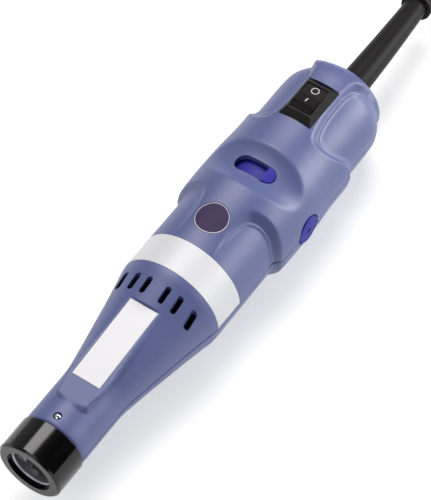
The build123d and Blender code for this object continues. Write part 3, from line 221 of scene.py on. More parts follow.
# %% [markdown]
# ## Node groups and materials
# Moulded plastic isn't smooth: a spark-eroded mould leaves a fine grain, and the pigment
# swirls a little. One group makes the grain as a height, and another a slow mottling that
# each material mixes into its colour and roughness. The looks themselves stand in a table.

# %% Shader groups and materials
MIX_SHARE, MIX_DARK, MIX_LIGHT, MIX_RESULT = 0, 6, 7, 2  # sockets of a colour mix


def noise_group(name, detail, scale, made):
    """Shader node group: noise on a piece's own coordinates, with its scale as an input."""
    group = bpy.data.node_groups.new(name, "ShaderNodeTree")
    socket = group.interface.new_socket("Scale", in_out="INPUT", socket_type="NodeSocketFloat")
    socket.default_value = scale
    group.interface.new_socket(made, in_out="OUTPUT", socket_type="NodeSocketFloat")
    given, result = group.nodes.new("NodeGroupInput"), group.nodes.new("NodeGroupOutput")
    place = group.nodes.new("ShaderNodeTexCoord")
    noise = group.nodes.new("ShaderNodeTexNoise")
    noise.inputs["Detail"].default_value = detail
    wire(
        group,
        (place.outputs["Object"], noise.inputs["Vector"]),
        (given.outputs["Scale"], noise.inputs["Scale"]),
        (noise.outputs["Fac"], result.inputs[made]),
    )
    return group


GRAIN_SCALE, MOTTLE_SCALE = 2500.0, 60.0
grain_group = noise_group("moulded_grain", 3, GRAIN_SCALE, "Height")
mottle_group = noise_group("mottle", 4, MOTTLE_SCALE, "Mask")


def colour_mix(tree, share, dark, light, shader):
    """Base colour of a shader, mixed from two colours by a share."""
    mix = tree.nodes.new("ShaderNodeMix")
    mix.data_type = "RGBA"
    mix.inputs[MIX_DARK].default_value = (*dark, 1)
    mix.inputs[MIX_LIGHT].default_value = (*light, 1)
    wire(tree, (share, mix.inputs[MIX_SHARE]),
         (mix.outputs[MIX_RESULT], shader.inputs["Base Color"]))


def finish_material(name, dark, light, rough, grain=0.02, grain_scale=GRAIN_SCALE,
                    mottle=MOTTLE_SCALE, metal=0.0, specular=0.5):
    """Principled material: mottled colour and roughness, and a fine grain as bump."""
    material, tree, shader = new_material(name)
    clouds = tree.nodes.new("ShaderNodeGroup")
    clouds.node_tree = mottle_group
    clouds.inputs["Scale"].default_value = mottle
    colour_mix(tree, clouds.outputs["Mask"], dark, light, shader)
    spread = tree.nodes.new("ShaderNodeMapRange")
    spread.inputs["To Min"].default_value, spread.inputs["To Max"].default_value = rough
    wire(tree, (clouds.outputs["Mask"], spread.inputs["Value"]),
         (spread.outputs["Result"], shader.inputs["Roughness"]))
    if grain:
        pits = tree.nodes.new("ShaderNodeGroup")
        pits.node_tree = grain_group
        pits.inputs["Scale"].default_value = grain_scale
        bump = tree.nodes.new("ShaderNodeBump")
        bump.inputs["Strength"].default_value = 0.6
        bump.inputs["Distance"].default_value = grain * MM
        wire(tree, (pits.outputs["Height"], bump.inputs["Height"]),
             (bump.outputs["Normal"], shader.inputs["Normal"]))
    shader.inputs["Metallic"].default_value = metal
    shader.inputs["Specular IOR Level"].default_value = specular
    return material


LOOKS = {
    "shell_blue": dict(
        dark=(0.08, 0.105, 0.262), light=(0.093, 0.12, 0.29), rough=(0.41, 0.49),
        grain=0.045, mottle=45, specular=0.75),
    "collar_black": dict(
        dark=(0.0015, 0.0012, 0.0013), light=(0.0025, 0.002, 0.0022), rough=(0.1, 0.14),
        grain=0, specular=0.42),
    "turned_steel": dict(
        dark=(0.3, 0.29, 0.3), light=(0.4, 0.39, 0.4), rough=(0.22, 0.34),
        grain=0.01, grain_scale=900, metal=1.0),
    "spring_steel": dict(
        dark=(0.4, 0.4, 0.41), light=(0.5, 0.5, 0.51), rough=(0.3, 0.4), grain=0, metal=1.0),
    "screw_steel": dict(
        dark=(0.36, 0.36, 0.38), light=(0.46, 0.46, 0.47), rough=(0.3, 0.45),
        grain=0.01, metal=1.0),
    "aluminium": dict(
        dark=(0.55, 0.56, 0.57), light=(0.65, 0.66, 0.67), rough=(0.3, 0.4),
        grain=0.01, grain_scale=1200, metal=1.0),
    "lamination": dict(
        dark=(0.12, 0.12, 0.13), light=(0.25, 0.24, 0.24), rough=(0.35, 0.6),
        grain=0.02, mottle=220, metal=0.8),
    "copper": dict(
        dark=(0.42, 0.15, 0.06), light=(0.6, 0.26, 0.11), rough=(0.25, 0.4),
        grain=0.05, grain_scale=1500, mottle=300, metal=0.9),
    "brass": dict(
        dark=(0.5, 0.35, 0.13), light=(0.65, 0.47, 0.2), rough=(0.25, 0.4),
        grain=0, metal=1.0),
    "carbon": dict(
        dark=(0.015, 0.015, 0.016), light=(0.035, 0.035, 0.037), rough=(0.6, 0.8),
        grain=0.03),
    "inner_black": dict(
        dark=(0.008, 0.008, 0.009), light=(0.016, 0.016, 0.017), rough=(0.55, 0.7),
        grain=0.02),
    "switch_black": dict(
        dark=(0.008, 0.007, 0.0075), light=(0.013, 0.011, 0.012), rough=(0.32, 0.42),
        grain=0.02, mottle=200, specular=0.15),
    "control_blue": dict(
        dark=(0.024, 0.022, 0.29), light=(0.032, 0.029, 0.35), rough=(0.4, 0.5),
        grain=0.02, mottle=120, specular=0.25),
    "button_blue": dict(
        dark=(0.018, 0.024, 0.25), light=(0.025, 0.032, 0.31), rough=(0.4, 0.5),
        grain=0.02, mottle=120, specular=0.1),
    "board_green": dict(
        dark=(0.01, 0.1, 0.04), light=(0.03, 0.18, 0.08), rough=(0.25, 0.4),
        grain=0.01, mottle=350),
    "capacitor_yellow": dict(
        dark=(0.55, 0.36, 0.03), light=(0.65, 0.46, 0.06), rough=(0.25, 0.35), grain=0.01),
    "wire_blue": dict(
        dark=(0.015, 0.06, 0.35), light=(0.025, 0.1, 0.45), rough=(0.35, 0.5), grain=0.01),
    "wire_brown": dict(
        dark=(0.1, 0.04, 0.015), light=(0.15, 0.065, 0.03), rough=(0.35, 0.5), grain=0.01),
    "label_white": dict(
        dark=(0.8, 0.8, 0.81), light=(0.84, 0.84, 0.85), rough=(0.35, 0.45),
        grain=0.004, mottle=90),
    "badge_purple": dict(
        dark=(0.05, 0.034, 0.088), light=(0.064, 0.046, 0.11), rough=(0.45, 0.55),
        grain=0.006, grain_scale=1800, mottle=260, specular=0.1),
    "rubber_black": dict(
        dark=(0.008, 0.007, 0.0075), light=(0.015, 0.013, 0.014), rough=(0.42, 0.56),
        grain=0.05, grain_scale=1500, mottle=90, specular=0.15),
    "cord_grey": dict(
        dark=(0.012, 0.012, 0.013), light=(0.022, 0.021, 0.023), rough=(0.4, 0.52),
        grain=0.02, mottle=120),
    "plug_black": dict(
        dark=(0.012, 0.012, 0.013), light=(0.02, 0.02, 0.021), rough=(0.42, 0.55),
        grain=0.05, mottle=90),
    "pin_nickel": dict(
        dark=(0.66, 0.63, 0.57), light=(0.74, 0.71, 0.65), rough=(0.14, 0.24),
        grain=0, metal=1.0),
    "band_white": dict(
        dark=(0.7, 0.71, 0.73), light=(0.74, 0.75, 0.77), rough=(0.35, 0.45),
        grain=0.004, mottle=90),
    "sleeve_steel": dict(
        dark=(0.36, 0.35, 0.42), light=(0.5, 0.48, 0.56), rough=(0.35, 0.5),
        grain=0.01, grain_scale=900, metal=0.8),
    "ball_steel": dict(
        dark=(0.75, 0.75, 0.76), light=(0.82, 0.82, 0.82), rough=(0.08, 0.14),
        grain=0, metal=1.0),
    "mark_white": dict(
        dark=(0.75, 0.75, 0.76), light=(0.82, 0.82, 0.83), rough=(0.4, 0.5), grain=0),
}
materials = {name: finish_material(name, **look) for name, look in LOOKS.items()}

# the strap's threads are a wave, in its colour and as bump
woven, tree, shader = new_material("woven_strap")
place = tree.nodes.new("ShaderNodeTexCoord")
threads = tree.nodes.new("ShaderNodeTexWave")
threads.inputs["Scale"].default_value = 900
threads.inputs["Distortion"].default_value = 1.5
weave_bump = tree.nodes.new("ShaderNodeBump")
weave_bump.inputs["Distance"].default_value = 0.12 * MM
wire(
    tree,
    (place.outputs["Object"], threads.inputs["Vector"]),
    (threads.outputs["Fac"], weave_bump.inputs["Height"]),
    (weave_bump.outputs["Normal"], shader.inputs["Normal"]),
)
colour_mix(tree, threads.outputs["Fac"], (0.008, 0.008, 0.009), (0.03, 0.03, 0.032), shader)
shader.inputs["Roughness"].default_value = 0.8
materials["tie_black"] = woven
print("materials", len(bpy.data.materials))

# %% [markdown]
# ## Dressing the CAD nodes
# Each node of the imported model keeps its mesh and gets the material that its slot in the
# record names. A few have a look of their own. A later cell replaces the nodes whose real
# shape is softer than their solid.

# %% Materials on the CAD nodes
OWN_LOOKS = {
    "run_button": "button_blue", "cooling_fan": "inner_black", "band_label": "band_white",
    "socket_sleeve": "sleeve_steel", "snap_ball": "ball_steel",
}
slot_of_node = {part["node"]: part["material_slot"] for part in frame["record"]["subparts"]}


def dress(piece, material):
    """Gives every material slot of a piece one material."""
    if not piece.data.materials:
        piece.data.materials.append(material)
    for index in range(len(piece.data.materials)):
        piece.data.materials[index] = material


for name, piece in nodes.items():
    dress(piece, materials[OWN_LOOKS.get(name, slot_of_node[name])])
print("dressed", len(nodes), "nodes")

# %% [markdown]
# ## The body's form
# The body is close to round, so its skin is a radius for each angle round the axis and
# each station along it. Two profiles give the raised skin and the lower floor of the
# recesses. Between an outline on the skin and one on the floor, a soft ramp joins them.

# %% Profiles along the tool, in millimetres
def smooth_profile(knots):
    """Function of a station through the given (station, radius) points, without corners."""
    at, value = np.array(knots, float).T
    slope = np.gradient(value, at)

    def profile(y):
        y = np.clip(y, at[0], at[-1])
        k = np.clip(np.searchsorted(at, y) - 1, 0, len(at) - 2)
        width = at[k + 1] - at[k]
        t = (y - at[k]) / width
        a = value[k] * (1 + 2 * t) * (1 - t) ** 2 + value[k + 1] * t**2 * (3 - 2 * t)
        return a + width * (slope[k] * t * (1 - t) ** 2 + slope[k + 1] * t**2 * (t - 1))

    return profile


NOSE = [
    (15, 12.8), (15.5, 13.12), (16.1, 13.33), (17, 13.4), (22, 13.4), (32, 13.4), (40, 13.45),
    (44, 13.75), (48, 14.4), (56.4, 15.8), (64.7, 17.3), (73.2, 18.8), (81.7, 20.5), (86, 21.4),
    (89, 22.05), (91.4, 22.3), (98, 22.3), (106, 22.3),
]
END = [(215.6, 15.5), (216, 14)]
raised_skin = smooth_profile(NOSE + [
    (110, 22.6), (118, 23.5), (126, 24.4), (133, 25.1), (140, 25.35), (150, 25.4), (158, 25.2),
    (164, 24.85), (170, 24.55), (178, 24.5), (190, 24.5), (200, 24.45), (206, 24.1),
    (209, 23.3), (211.2, 21.6), (213, 19.0), (214.6, 17.2),
] + END)
recess_floor = smooth_profile(NOSE + [
    (120, 22.25), (140, 22.2), (170, 22.2), (190, 22.2), (200, 22.15), (203.5, 21.9),
    (206, 21.2), (208.4, 20.0), (210.6, 18.4), (211.6, 18.0), (213, 17.85), (214.4, 17.3),
] + END)
print("grip radius", round(float(raised_skin(150.0)), 2))

# %% [markdown]
# The outlines of the recesses are drawn on the skin unrolled flat: distance round the
# tool against distance along it. A few given points, with their corners cut off
# again and again, give a soft curve.

# %% Outlines of the recesses
UNROLL = 24.0
SKIN_AT_ARCH, FLOOR_AT_ARCH, SKIN_AT_POCKET, FLOOR_AT_POCKET = 24.9, 22.3, 24.5, 22.2
TINY = 1e-12


def round_off(points, times=3):
    """Closed outline with its corners cut, which leaves a smooth curve."""
    p = np.array(points, float)
    for _ in range(times):
        ahead = np.roll(p, -1, axis=0)
        p = np.stack([p * 0.75 + ahead * 0.25, p * 0.25 + ahead * 0.75], axis=1).reshape(-1, 2)
    return p


def unrolled(radius, points):
    """Points (x, station) on a round of that radius, as (distance round, station)."""
    return [(UNROLL * asin(x / radius), y) for x, y in points]


def inside_distance(s, y, outline):
    """Signed distance to a closed outline: positive inside it."""
    best = np.full(s.shape, 1e9)
    inside = np.zeros(s.shape, bool)
    for (s0, y0), (s1, y1) in zip(outline, np.roll(outline, -1, axis=0)):
        ds, dy = s1 - s0, y1 - y0
        length2 = ds * ds + dy * dy
        if length2 < TINY:
            continue
        t = np.clip(((s - s0) * ds + (y - y0) * dy) / length2, 0, 1)
        best = np.minimum(best, np.hypot(s - s0 - t * ds, y - y0 - t * dy))
        crosses = (y0 > y) != (y1 > y)
        inside ^= crosses & (s < s0 + (y - y0) / (dy if abs(dy) > TINY else TINY) * ds)
    return np.where(inside, best, -best)


# the parting line is 37.7 mm round: up to FAR, each recess runs on into the other half
FAR = 45.0
arch_edge = round_off(unrolled(SKIN_AT_ARCH, [
    (9.6, 100), (9.4, 108), (8.4, 115), (8.2, 121), (8.5, 126), (8.9, 129.6), (10.2, 132.4),
    (13.8, 134.0), (18.5, 134.5), (21.6, 134.0), (23.6, 133.2),
]) + [(33, 132.0), (FAR, 131.5), (FAR, 100)])
arch_floor = round_off(unrolled(FLOOR_AT_ARCH, [
    (10.0, 100), (9.7, 108), (9.6, 117), (10.0, 122), (10.7, 125.8), (12.2, 128.4),
    (15.7, 130.2), (19.3, 130.0),
]) + [(30, 128.6), (36, 127.8), (FAR, 127.5), (FAR, 100)])
pocket_edge = round_off(unrolled(SKIN_AT_POCKET, [
    (9.5, 208.6), (7.6, 206), (6.7, 201), (6.5, 194), (6.9, 186), (7.9, 179.5),
    (8.6, 175.2), (11.0, 172.1), (15, 171.9), (19.2, 174), (22.3, 178.2),
]) + [(33, 181.2), (FAR, 181.6), (FAR, 218), (17, 218), (14.0, 212)])
pocket_floor = round_off(unrolled(FLOOR_AT_POCKET, [
    (11.6, 204.8), (9.8, 201), (9.6, 193.4), (9.8, 185.8), (10.9, 179), (12.2, 176.6),
    (15.8, 176.3), (18.6, 178.2), (20.6, 181.3),
]) + [(32, 184.4), (FAR, 184.6), (FAR, 218), (24, 218), (20.5, 212.5)])
print("outline points", len(arch_edge), len(pocket_edge))

# %% [markdown]
# Now the skin itself. Each feature is a little arithmetic on whole grids of points, so it
# is easy to see what it does: the ramps of the recesses with a lip at their foot, the thumb
# scoop as a ring shape that is cut away, the raised flat for the nose label, the seat of
# the wrap label and the flat belly.

# %% Radius of the skin at any angle and station
PAD_Z, PAD_SLOPE, PAD_MOST = 14.4, 0.0906, 4
PAD_FRONT, PAD_REAR, PAD_FOOT = 26.6, 75.4, 7.8
PAD_WALL, PAD_WALL_MORE, PAD_WALL_RUN = 1.3, 0.8, 9.0  # its walls lean more at the front
LABEL_FRONT, LABEL_HALF = 37.2, 7
SCOOP_Y, SCOOP_Z, SCOOP_CROSS, SCOOP_ALONG, SCOOP_HALF = 149.5, 22.1, 31.7, 20.2, 17
BAND_START, BAND_END, BAND_SEAT = 91.45, 106.25, 21.88
BELLY, BELLY_COSINE = 24.0, 0.3
LIP_HEIGHT, LIP_OFFSET, LIP_WIDTH = 0.36, 0.1, 0.55
POCKET_LIP_END, ARCH_LIP_START, LIP_ANGLE = 206, 112, pi / 2 + 1


def ease(t):
    """Soft step from 0 to 1."""
    t = np.clip(t, 0, 1)
    return t * t * (3 - 2 * t)


def soft_min(a, b, reach):
    """Lesser of two values, with the corner between them rounded."""
    h = np.clip(0.5 + 0.5 * (b - a) / reach, 0, 1)
    return b + (a - b) * h - reach * h * (1 - h)


def ramp(s, y, edge_outline, floor_outline):
    """0 on the raised skin, 1 on the recess floor; and the distance from the floor."""
    from_edge = inside_distance(s, y, edge_outline)
    from_floor = -inside_distance(s, y, floor_outline)
    between = from_edge / np.maximum(from_edge + from_floor, 1e-6)
    return np.where(from_edge <= 0, 0, np.where(from_floor <= 0, 1, between)), from_floor


def lip(share, from_floor):
    """Low ridge, from 0 to 1, where a ramp meets the recess floor."""
    ridge = np.exp(-((from_floor - LIP_OFFSET) / LIP_WIDTH) ** 2)
    return ridge * ease((share - 0.5) * 4)


def scoop_radius(angle, y):
    """Radius at which the thumb scoop's ring shape cuts the body."""
    along = np.sqrt(np.maximum(SCOOP_ALONG**2 - (y - SCOOP_Y) ** 2, 0.01))
    ring = SCOOP_CROSS + SCOOP_ALONG - along
    below = SCOOP_CROSS - SCOOP_Z
    under = np.maximum(ring**2 - (below * np.sin(angle)) ** 2, 0)
    return -below * np.cos(angle) + np.sqrt(under)


def pad_share(x, y):
    """Rise of the nose label's flat, from 0 at the foot of its walls to 1 on top."""
    wall = PAD_WALL + PAD_WALL_MORE * ease((LABEL_FRONT - y) / PAD_WALL_RUN)
    up_side = (PAD_FOOT - np.abs(x)) / wall
    up_front = (y - PAD_FRONT - 0.02 * x**2) / 2.0 + 0.5
    climb = 1 - np.hypot(np.maximum(1 - up_side, 0), np.maximum(1 - up_front, 0))
    return ease(climb) * (y < PAD_REAR + 2)


def skin_radius(angle, y):
    """Radius of the body: angle from the top towards the button side, station along."""
    angle, y = np.broadcast_arrays(angle, y)
    cosine = np.cos(angle)
    s = UNROLL * np.minimum(np.abs(angle), pi - np.abs(angle))
    share_a, gap_a = ramp(s, y, arch_edge, arch_floor)
    share_p, gap_p = ramp(s, y, pocket_edge, pocket_floor)
    down = np.maximum(ease(share_a), ease(share_p))
    low = recess_floor(y)
    r = low + (raised_skin(y) - low) * (1 - down)
    lips = lip(share_p, gap_p) * ease((POCKET_LIP_END - y) / 3)
    lips += lip(share_a, gap_a) * ease((y - ARCH_LIP_START) / 8)
    r = r + LIP_HEIGHT * lips * (np.abs(angle) < LIP_ANGLE)
    top = cosine > 0.05
    x = r * np.sin(angle)
    in_scoop = top & (np.abs(y - SCOOP_Y) < SCOOP_HALF)
    r = np.where(in_scoop, soft_min(r, scoop_radius(angle, y), 0.4), r)
    plane = (PAD_Z + PAD_SLOPE * (y - LABEL_FRONT)) / np.where(top, cosine, 1.0)
    pad = r + (np.minimum(plane, r + PAD_MOST) - r) * pad_share(x, y)
    r = np.where(top & (plane > r), pad, r)
    under_label = top & (y > LABEL_FRONT) & (y < PAD_REAR) & (np.abs(x) < LABEL_HALF)
    r = np.where(under_label, np.minimum(r, plane), r)
    r = np.where(top & (y > BAND_START) & (y < BAND_END), np.minimum(r, BAND_SEAT), r)
    belly = soft_min(r, BELLY / np.maximum(-cosine, BELLY_COSINE), 0.5)
    return np.where(cosine < -BELLY_COSINE, belly, r)


# %% [markdown]
# A half of the shell is one closed grid: the outer skin, the inner wall, and the strips
# that join them at the nose, at the tail and along the parting line, where each edge is
# rounded a little so that the joint shows as a fine groove.

# %% Build the two halves
SHELL_FRONT, TAIL_END, END_WALL = 15.2, 216.0, 213.4
WALL, SLEEVE_BORE, NECK = 2.1, 10.8, 5.15
TAIL_WALL_START, TAIL_WALL_R, TAIL_WALL_SLOPE = 206, 16.4, 0.4
JOINT_GAP, JOINT_ROUND, JOINT_DEPTH = 0.18, 0.8, 0.65
COLUMNS = 181
TAIL_RINGS = (0.75, 0.5, 0.0)  # on the tail's face, as shares from the neck to the skin
SHARP = 35
STATION_RUNS = (  # from, to, step
    (SHELL_FRONT, 17.2, 0.25), (17.5, 24, 1.0), (24, 40, 0.4), (40, 74, 1.5), (74, 77, 0.3),
    (77, 91, 1.0), (92.5, 105.5, 2.0), (107, 137, 0.45), (137, 169, 0.7), (169, 209, 0.42),
    (209, 215.9, 0.25),
)
EDGE_STATIONS = [90.6, 91.0, 91.42, 91.46, 91.8, 105.9, 106.23, 106.27, 106.6, TAIL_END]
stations = np.unique(np.concatenate([np.arange(*run) for run in STATION_RUNS] + [EDGE_STATIONS]))


def new_piece(name, vertices, faces, material, sharp=SHARP):
    """Mesh object in metres from points in millimetres, smooth except at sharp edges."""
    mesh = bpy.data.meshes.new(name)
    mesh.from_pydata([tuple(c * MM for c in v) for v in vertices], [], faces)
    work = bmesh.new()
    work.from_mesh(mesh)
    bmesh.ops.recalc_face_normals(work, faces=work.faces)
    work.to_mesh(mesh)
    work.free()
    mesh.shade_smooth()
    mesh.set_sharp_from_angle(angle=radians(sharp))
    mesh.materials.append(material)
    piece = bpy.data.objects.new(name, mesh)
    scene.collection.objects.link(piece)
    return piece


def inner_wall():
    """Stations and radii of the inner wall: the least skin round about, less the wall."""
    y = np.minimum(stations, END_WALL)
    least = skin_radius(np.linspace(0, pi, 91)[None, :], y[:, None]).min(axis=1)
    radius = np.maximum(least - WALL, SLEEVE_BORE)
    behind = stations - TAIL_WALL_START
    at_tail = np.minimum(radius, TAIL_WALL_R - behind * TAIL_WALL_SLOPE)
    return y[:, None], np.where(behind > 0, at_tail, radius)[:, None]


def half_angles(radius, share, top):
    """Angles across one half at a radius, which leave the joint's gap at either edge."""
    turned = np.arccos(JOINT_GAP / radius) * share
    return turned if top else np.where(turned >= 0, pi - turned, -pi - turned)


def round_points(radius, angle, y):
    """Points from radius, angle from the top, and station."""
    columns = np.broadcast_arrays(radius * np.sin(angle), y, radius * np.cos(angle))
    return np.stack(columns, axis=-1)


def build_half(top):
    """One closed half of the shell, as points and faces."""
    share = np.linspace(-1, 1, COLUMNS)
    at_joint = skin_radius(np.full(len(stations), pi / 2), stations)[:, None]
    angle = half_angles(at_joint, share, top)
    r = skin_radius(angle, stations[:, None])
    away = np.abs(r * np.cos(angle)) - JOINT_GAP
    r = r - JOINT_DEPTH * np.clip(1 - away / JOINT_ROUND, 0, 1) ** 2
    rings = list(round_points(r, angle, stations[:, None]))
    for part in TAIL_RINGS:
        rim = r[-1] * part + NECK * (1 - part)
        rings.append(round_points(rim, half_angles(rim, share, top), TAIL_END))
    rings.append(round_points(NECK, half_angles(NECK, share, top), END_WALL))
    inner_y, inner_r = inner_wall()
    inner = round_points(inner_r, half_angles(inner_r, share, top), inner_y)
    last = int(np.flatnonzero(stations <= END_WALL)[-1])
    rings += list(inner[last::-1])
    total, skin_end = len(rings), len(stations) - 1
    faces = []
    for k in range(total):
        a, b = k * COLUMNS, (k + 1) % total * COLUMNS
        faces += [(a + j, a + j + 1, b + j + 1, b + j) for j in range(COLUMNS - 1)]
    # each parting face is a strip from the outer rings to the inner ones, and a fan
    inner_ids = [total - 1 - k for k in range(last + 1)]
    for j in (0, COLUMNS - 1):
        for k in range(skin_end):
            b0, b1 = inner_ids[min(k, last)], inner_ids[min(k + 1, last)]
            ring = [k, k + 1, b1, b0] if b0 != b1 else [k, k + 1, b1]
            faces.append(tuple(i * COLUMNS + j for i in ring))
        fan = [inner_ids[last], *range(skin_end, skin_end + len(TAIL_RINGS) + 2)]
        faces.append(tuple(i * COLUMNS + j for i in fan))
    return np.concatenate(rings), faces


BADGE_Y, BADGE_R = 119.8, 6.9
SWELL_START, SWELL_R, SWELL_SLOPE = 107, 22.3, 0.1074  # the skin's cone round the badge


def stadium(length, width, steps=10):
    """Outline of a slot with round ends, along its first axis."""
    r = width / 2
    turns = [pi / 2 - pi * k / steps for k in range(steps + 1)]
    right = [(length / 2 - r + r * cos(t), r * sin(t)) for t in turns]
    return right + [(-u, -v) for u, v in right]


def circle(r, steps=48):
    """Outline of a circle."""
    return [(r * cos(2 * pi * k / steps), r * sin(2 * pi * k / steps)) for k in range(steps)]


def rectangle(a, b, r=0.3):
    """Outline of a rectangle with small round corners."""
    corners = [(a / 2 - r, b / 2 - r, 0), (-a / 2 + r, b / 2 - r, 1),
               (-a / 2 + r, -b / 2 + r, 2), (a / 2 - r, -b / 2 + r, 3)]
    return [(u + r * cos(pi / 2 * (q + t / 3)), v + r * sin(pi / 2 * (q + t / 3)))
            for u, v, q in corners for t in range(4)]


def prism(outline, origin, u_axis, v_axis, low, high):
    """Closed prism: an outline in a plane, from low to high along the plane's normal."""
    o, u, v = Vector(origin), Vector(u_axis).normalized(), Vector(v_axis).normalized()
    n = u.cross(v)
    count = len(outline)
    ring = [o + u * a + v * b for a, b in outline]
    points = [tuple(p + n * low) for p in ring] + [tuple(p + n * high) for p in ring]
    faces = [tuple(range(count)), tuple(range(2 * count - 1, count - 1, -1))]
    faces += [(k, (k + 1) % count, (k + 1) % count + count, k + count) for k in range(count)]
    return points, faces


def upright(outline, x, y, low, high):
    """Prism with its outline level and its axis upright at (x, station)."""
    return prism(outline, (x, y, 0), (1, 0, 0), (0, 1, 0), low, high)


def badge_pit(radius, depth, lid_z, spokes=64, rings=6):
    """Closed cutter for the badge's seat, whose floor runs under the sloping skin."""
    points = []
    for ring in range(rings + 1):
        for k in range(spokes if ring else 1):
            a = 2 * pi * k / spokes
            x, y = radius * ring / rings * cos(a), BADGE_Y + radius * ring / rings * sin(a)
            r = SWELL_R + SWELL_SLOPE * (y - SWELL_START) - depth
            points.append((x, y, sqrt(r * r - x * x)))
    rim, lid = len(points) - spokes, len(points)
    points += [(x, y, lid_z) for x, y, z in points[rim:]]
    pairs = [(k, (k + 1) % spokes) for k in range(spokes)]
    faces = [(0, 1 + n, 1 + k) for k, n in pairs]
    for a in range(1, lid, spokes):
        faces += [(a + k, a + n, a + spokes + n, a + spokes + k) for k, n in pairs]
    faces.append(tuple(range(lid, lid + spokes)))
    return points, faces


def joined(parts):
    """Several point and face lists as one."""
    points, faces = [], []
    for p, f in parts:
        faces += [tuple(i + len(points) for i in face) for face in f]
        points += list(p)
    return points, faces


def cut(piece, cutters):
    """Cuts closed cutters, which mustn't overlap, out of a piece's mesh."""
    tool = new_piece("cutter", *joined(cutters), materials["inner_black"])
    step = piece.modifiers.new("cut", "BOOLEAN")
    step.operation = "DIFFERENCE"
    step.solver = "EXACT"
    step.object = tool
    bpy.context.view_layer.update()
    ready = piece.evaluated_get(bpy.context.evaluated_depsgraph_get())
    mesh = bpy.data.meshes.new_from_object(ready)
    piece.modifiers.clear()
    piece.data = mesh
    bpy.data.objects.remove(tool)
    material = mesh.materials[0]
    mesh.materials.clear()
    mesh.materials.append(material)
    mesh.polygons.foreach_set("material_index", [0] * len(mesh.polygons))
    mesh.shade_smooth()
    mesh.set_sharp_from_angle(angle=radians(SHARP))


upper = new_piece("upper_half", *build_half(True), materials["shell_blue"])
lower = new_piece("lower_half", *build_half(False), materials["shell_blue"])
print("half shell faces", len(upper.data.polygons))

# %% [markdown]
# The openings are cut with closed prisms, as a mould's side cores would form them: six
# cooling slots, the slot of the slider, the seat of the rocker switch, the badge's round
# recess, the hole of the snap ball and the hole of the side button. The lower half gets
# its screw wells. Cutters that overlap are cut one after the other.

# %% Openings
VENT_Y, VENT_SIZE, VENT_PLACES = 82.0, (7.6, 2.4), (-15.9, -9.9, -4.3, 4.3, 9.9, 15.9)
SLOT_SIZE = (18.5, 7.9)
SWITCH_Y, SWITCH_SIZE = 187.5, (14.9, 21.7)
BALL_Y, BALL_HOLE_R = 19.5, 1.75
BUTTON_Y, BUTTON_HOLE_R = 150, 6.8
PIT_R, PIT_DEPTH = 7.05, 0.72
ABOVE = 40  # beyond the skin everywhere
SCREWS = ((11.4, 70.0, -8.0), (15.0, 159.0, -11.0), (13.3, 206.0, -8.5))  # x, station, seat
WELL_R, SHANK_R = 2.5, 1.4
vents = [prism(stadium(*VENT_SIZE), (x, VENT_Y, 0), (0, 1, 0), (-1, 0, 0), 5, 30)
         for x in VENT_PLACES]
button_hole = prism(circle(BUTTON_HOLE_R), (0, BUTTON_Y, 0), (0, 1, 0), (0, 0, 1), 14, ABOVE)
cut(upper, vents + [
    upright(stadium(*SLOT_SIZE, 16), 0, SCOOP_Y, 12, ABOVE),
    upright(rectangle(*SWITCH_SIZE), 0, SWITCH_Y, 12, ABOVE),
    upright(circle(BALL_HOLE_R, 32), 0, BALL_Y, 6, 20),
    button_hole,
])
cut(upper, [badge_pit(PIT_R, PIT_DEPTH, 30.0)])
wells, shanks = [], []
for half_x, y, seat in SCREWS:
    for x in (-half_x, half_x):
        wells.append(upright(circle(WELL_R, 32), x, y, -ABOVE, seat))
        shanks.append(upright(circle(SHANK_R, 24), x, y, seat - 0.5, 2))
cut(lower, wells + [button_hole])
cut(lower, shanks)
for piece, node in ((upper, "upper_shell"), (lower, "lower_shell")):
    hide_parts(node)
    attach(piece, "body")
print("upper faces", len(upper.data.polygons), "lower faces", len(lower.data.polygons))

# %% [markdown]
# ## Printed marks
# A mains rocker carries a ring for off and a bar for on, printed in white, and the badge has
# a thin pale border. Each mark is a thin film: its points are dropped onto the CAD surface
# under it, so it follows the hollow of the rocker's top and turns with the rocker.

# %% Printed marks
RING_Y, RING_R, RING_HOLE_R = 192.0, 1.7, 1.43
BORDER_R, BORDER_HOLE_R = BADGE_R - 0.12, BADGE_R - 0.38
BAR = [(0.2, 186.75), (-0.2, 186.75), (-0.2, 184.55), (0.2, 184.55)]
FILM_LIFT = 0.03


def film(name, carrier, body, outline, hole):
    """Thin mark on a node's top, between two rings of (x, station) points."""
    count = len(outline)
    points = []
    for x, y in hole + outline:
        place = nodes[carrier].ray_cast(Vector((x, y, 40)) * MM, Vector((0, 0, -1)))[1]
        points.append((x, y, place.z / MM + FILM_LIFT))
    faces = [(k, (k + 1) % count, (k + 1) % count + count, k + count) for k in range(count)]
    mark = new_piece(name, points, faces, materials["mark_white"], sharp=80)
    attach(mark, body)
    print(name, "height", round(points[0][2], 2))


def circle_at(r, y, steps=40):
    """Circle in plan round a station on the centre line."""
    return [(u, y + v) for u, v in circle(r, steps)]


film("off_ring", "switch_rocker", "rocker",
     circle_at(RING_R, RING_Y), circle_at(RING_HOLE_R, RING_Y))
film("on_bar", "switch_rocker", "rocker", BAR, [(x * 0.01, y) for x, y in BAR])
film("badge_border", "badge", "body",
     circle_at(BORDER_R, BADGE_Y, 64), circle_at(BORDER_HOLE_R, BADGE_Y, 64))

# %% [markdown]
# ## Springs
# The springs behind the button and the ball stand on the body and give way to what presses
# them. Here each one only gets a mesh of its own.

# %% Springs
PRESSED = (("button_spring", "button_press", 0, 1.5), ("ball_spring", "ball_press", 2, 0.6))
for name, joint, along, travel in PRESSED:
    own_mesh(nodes[name])

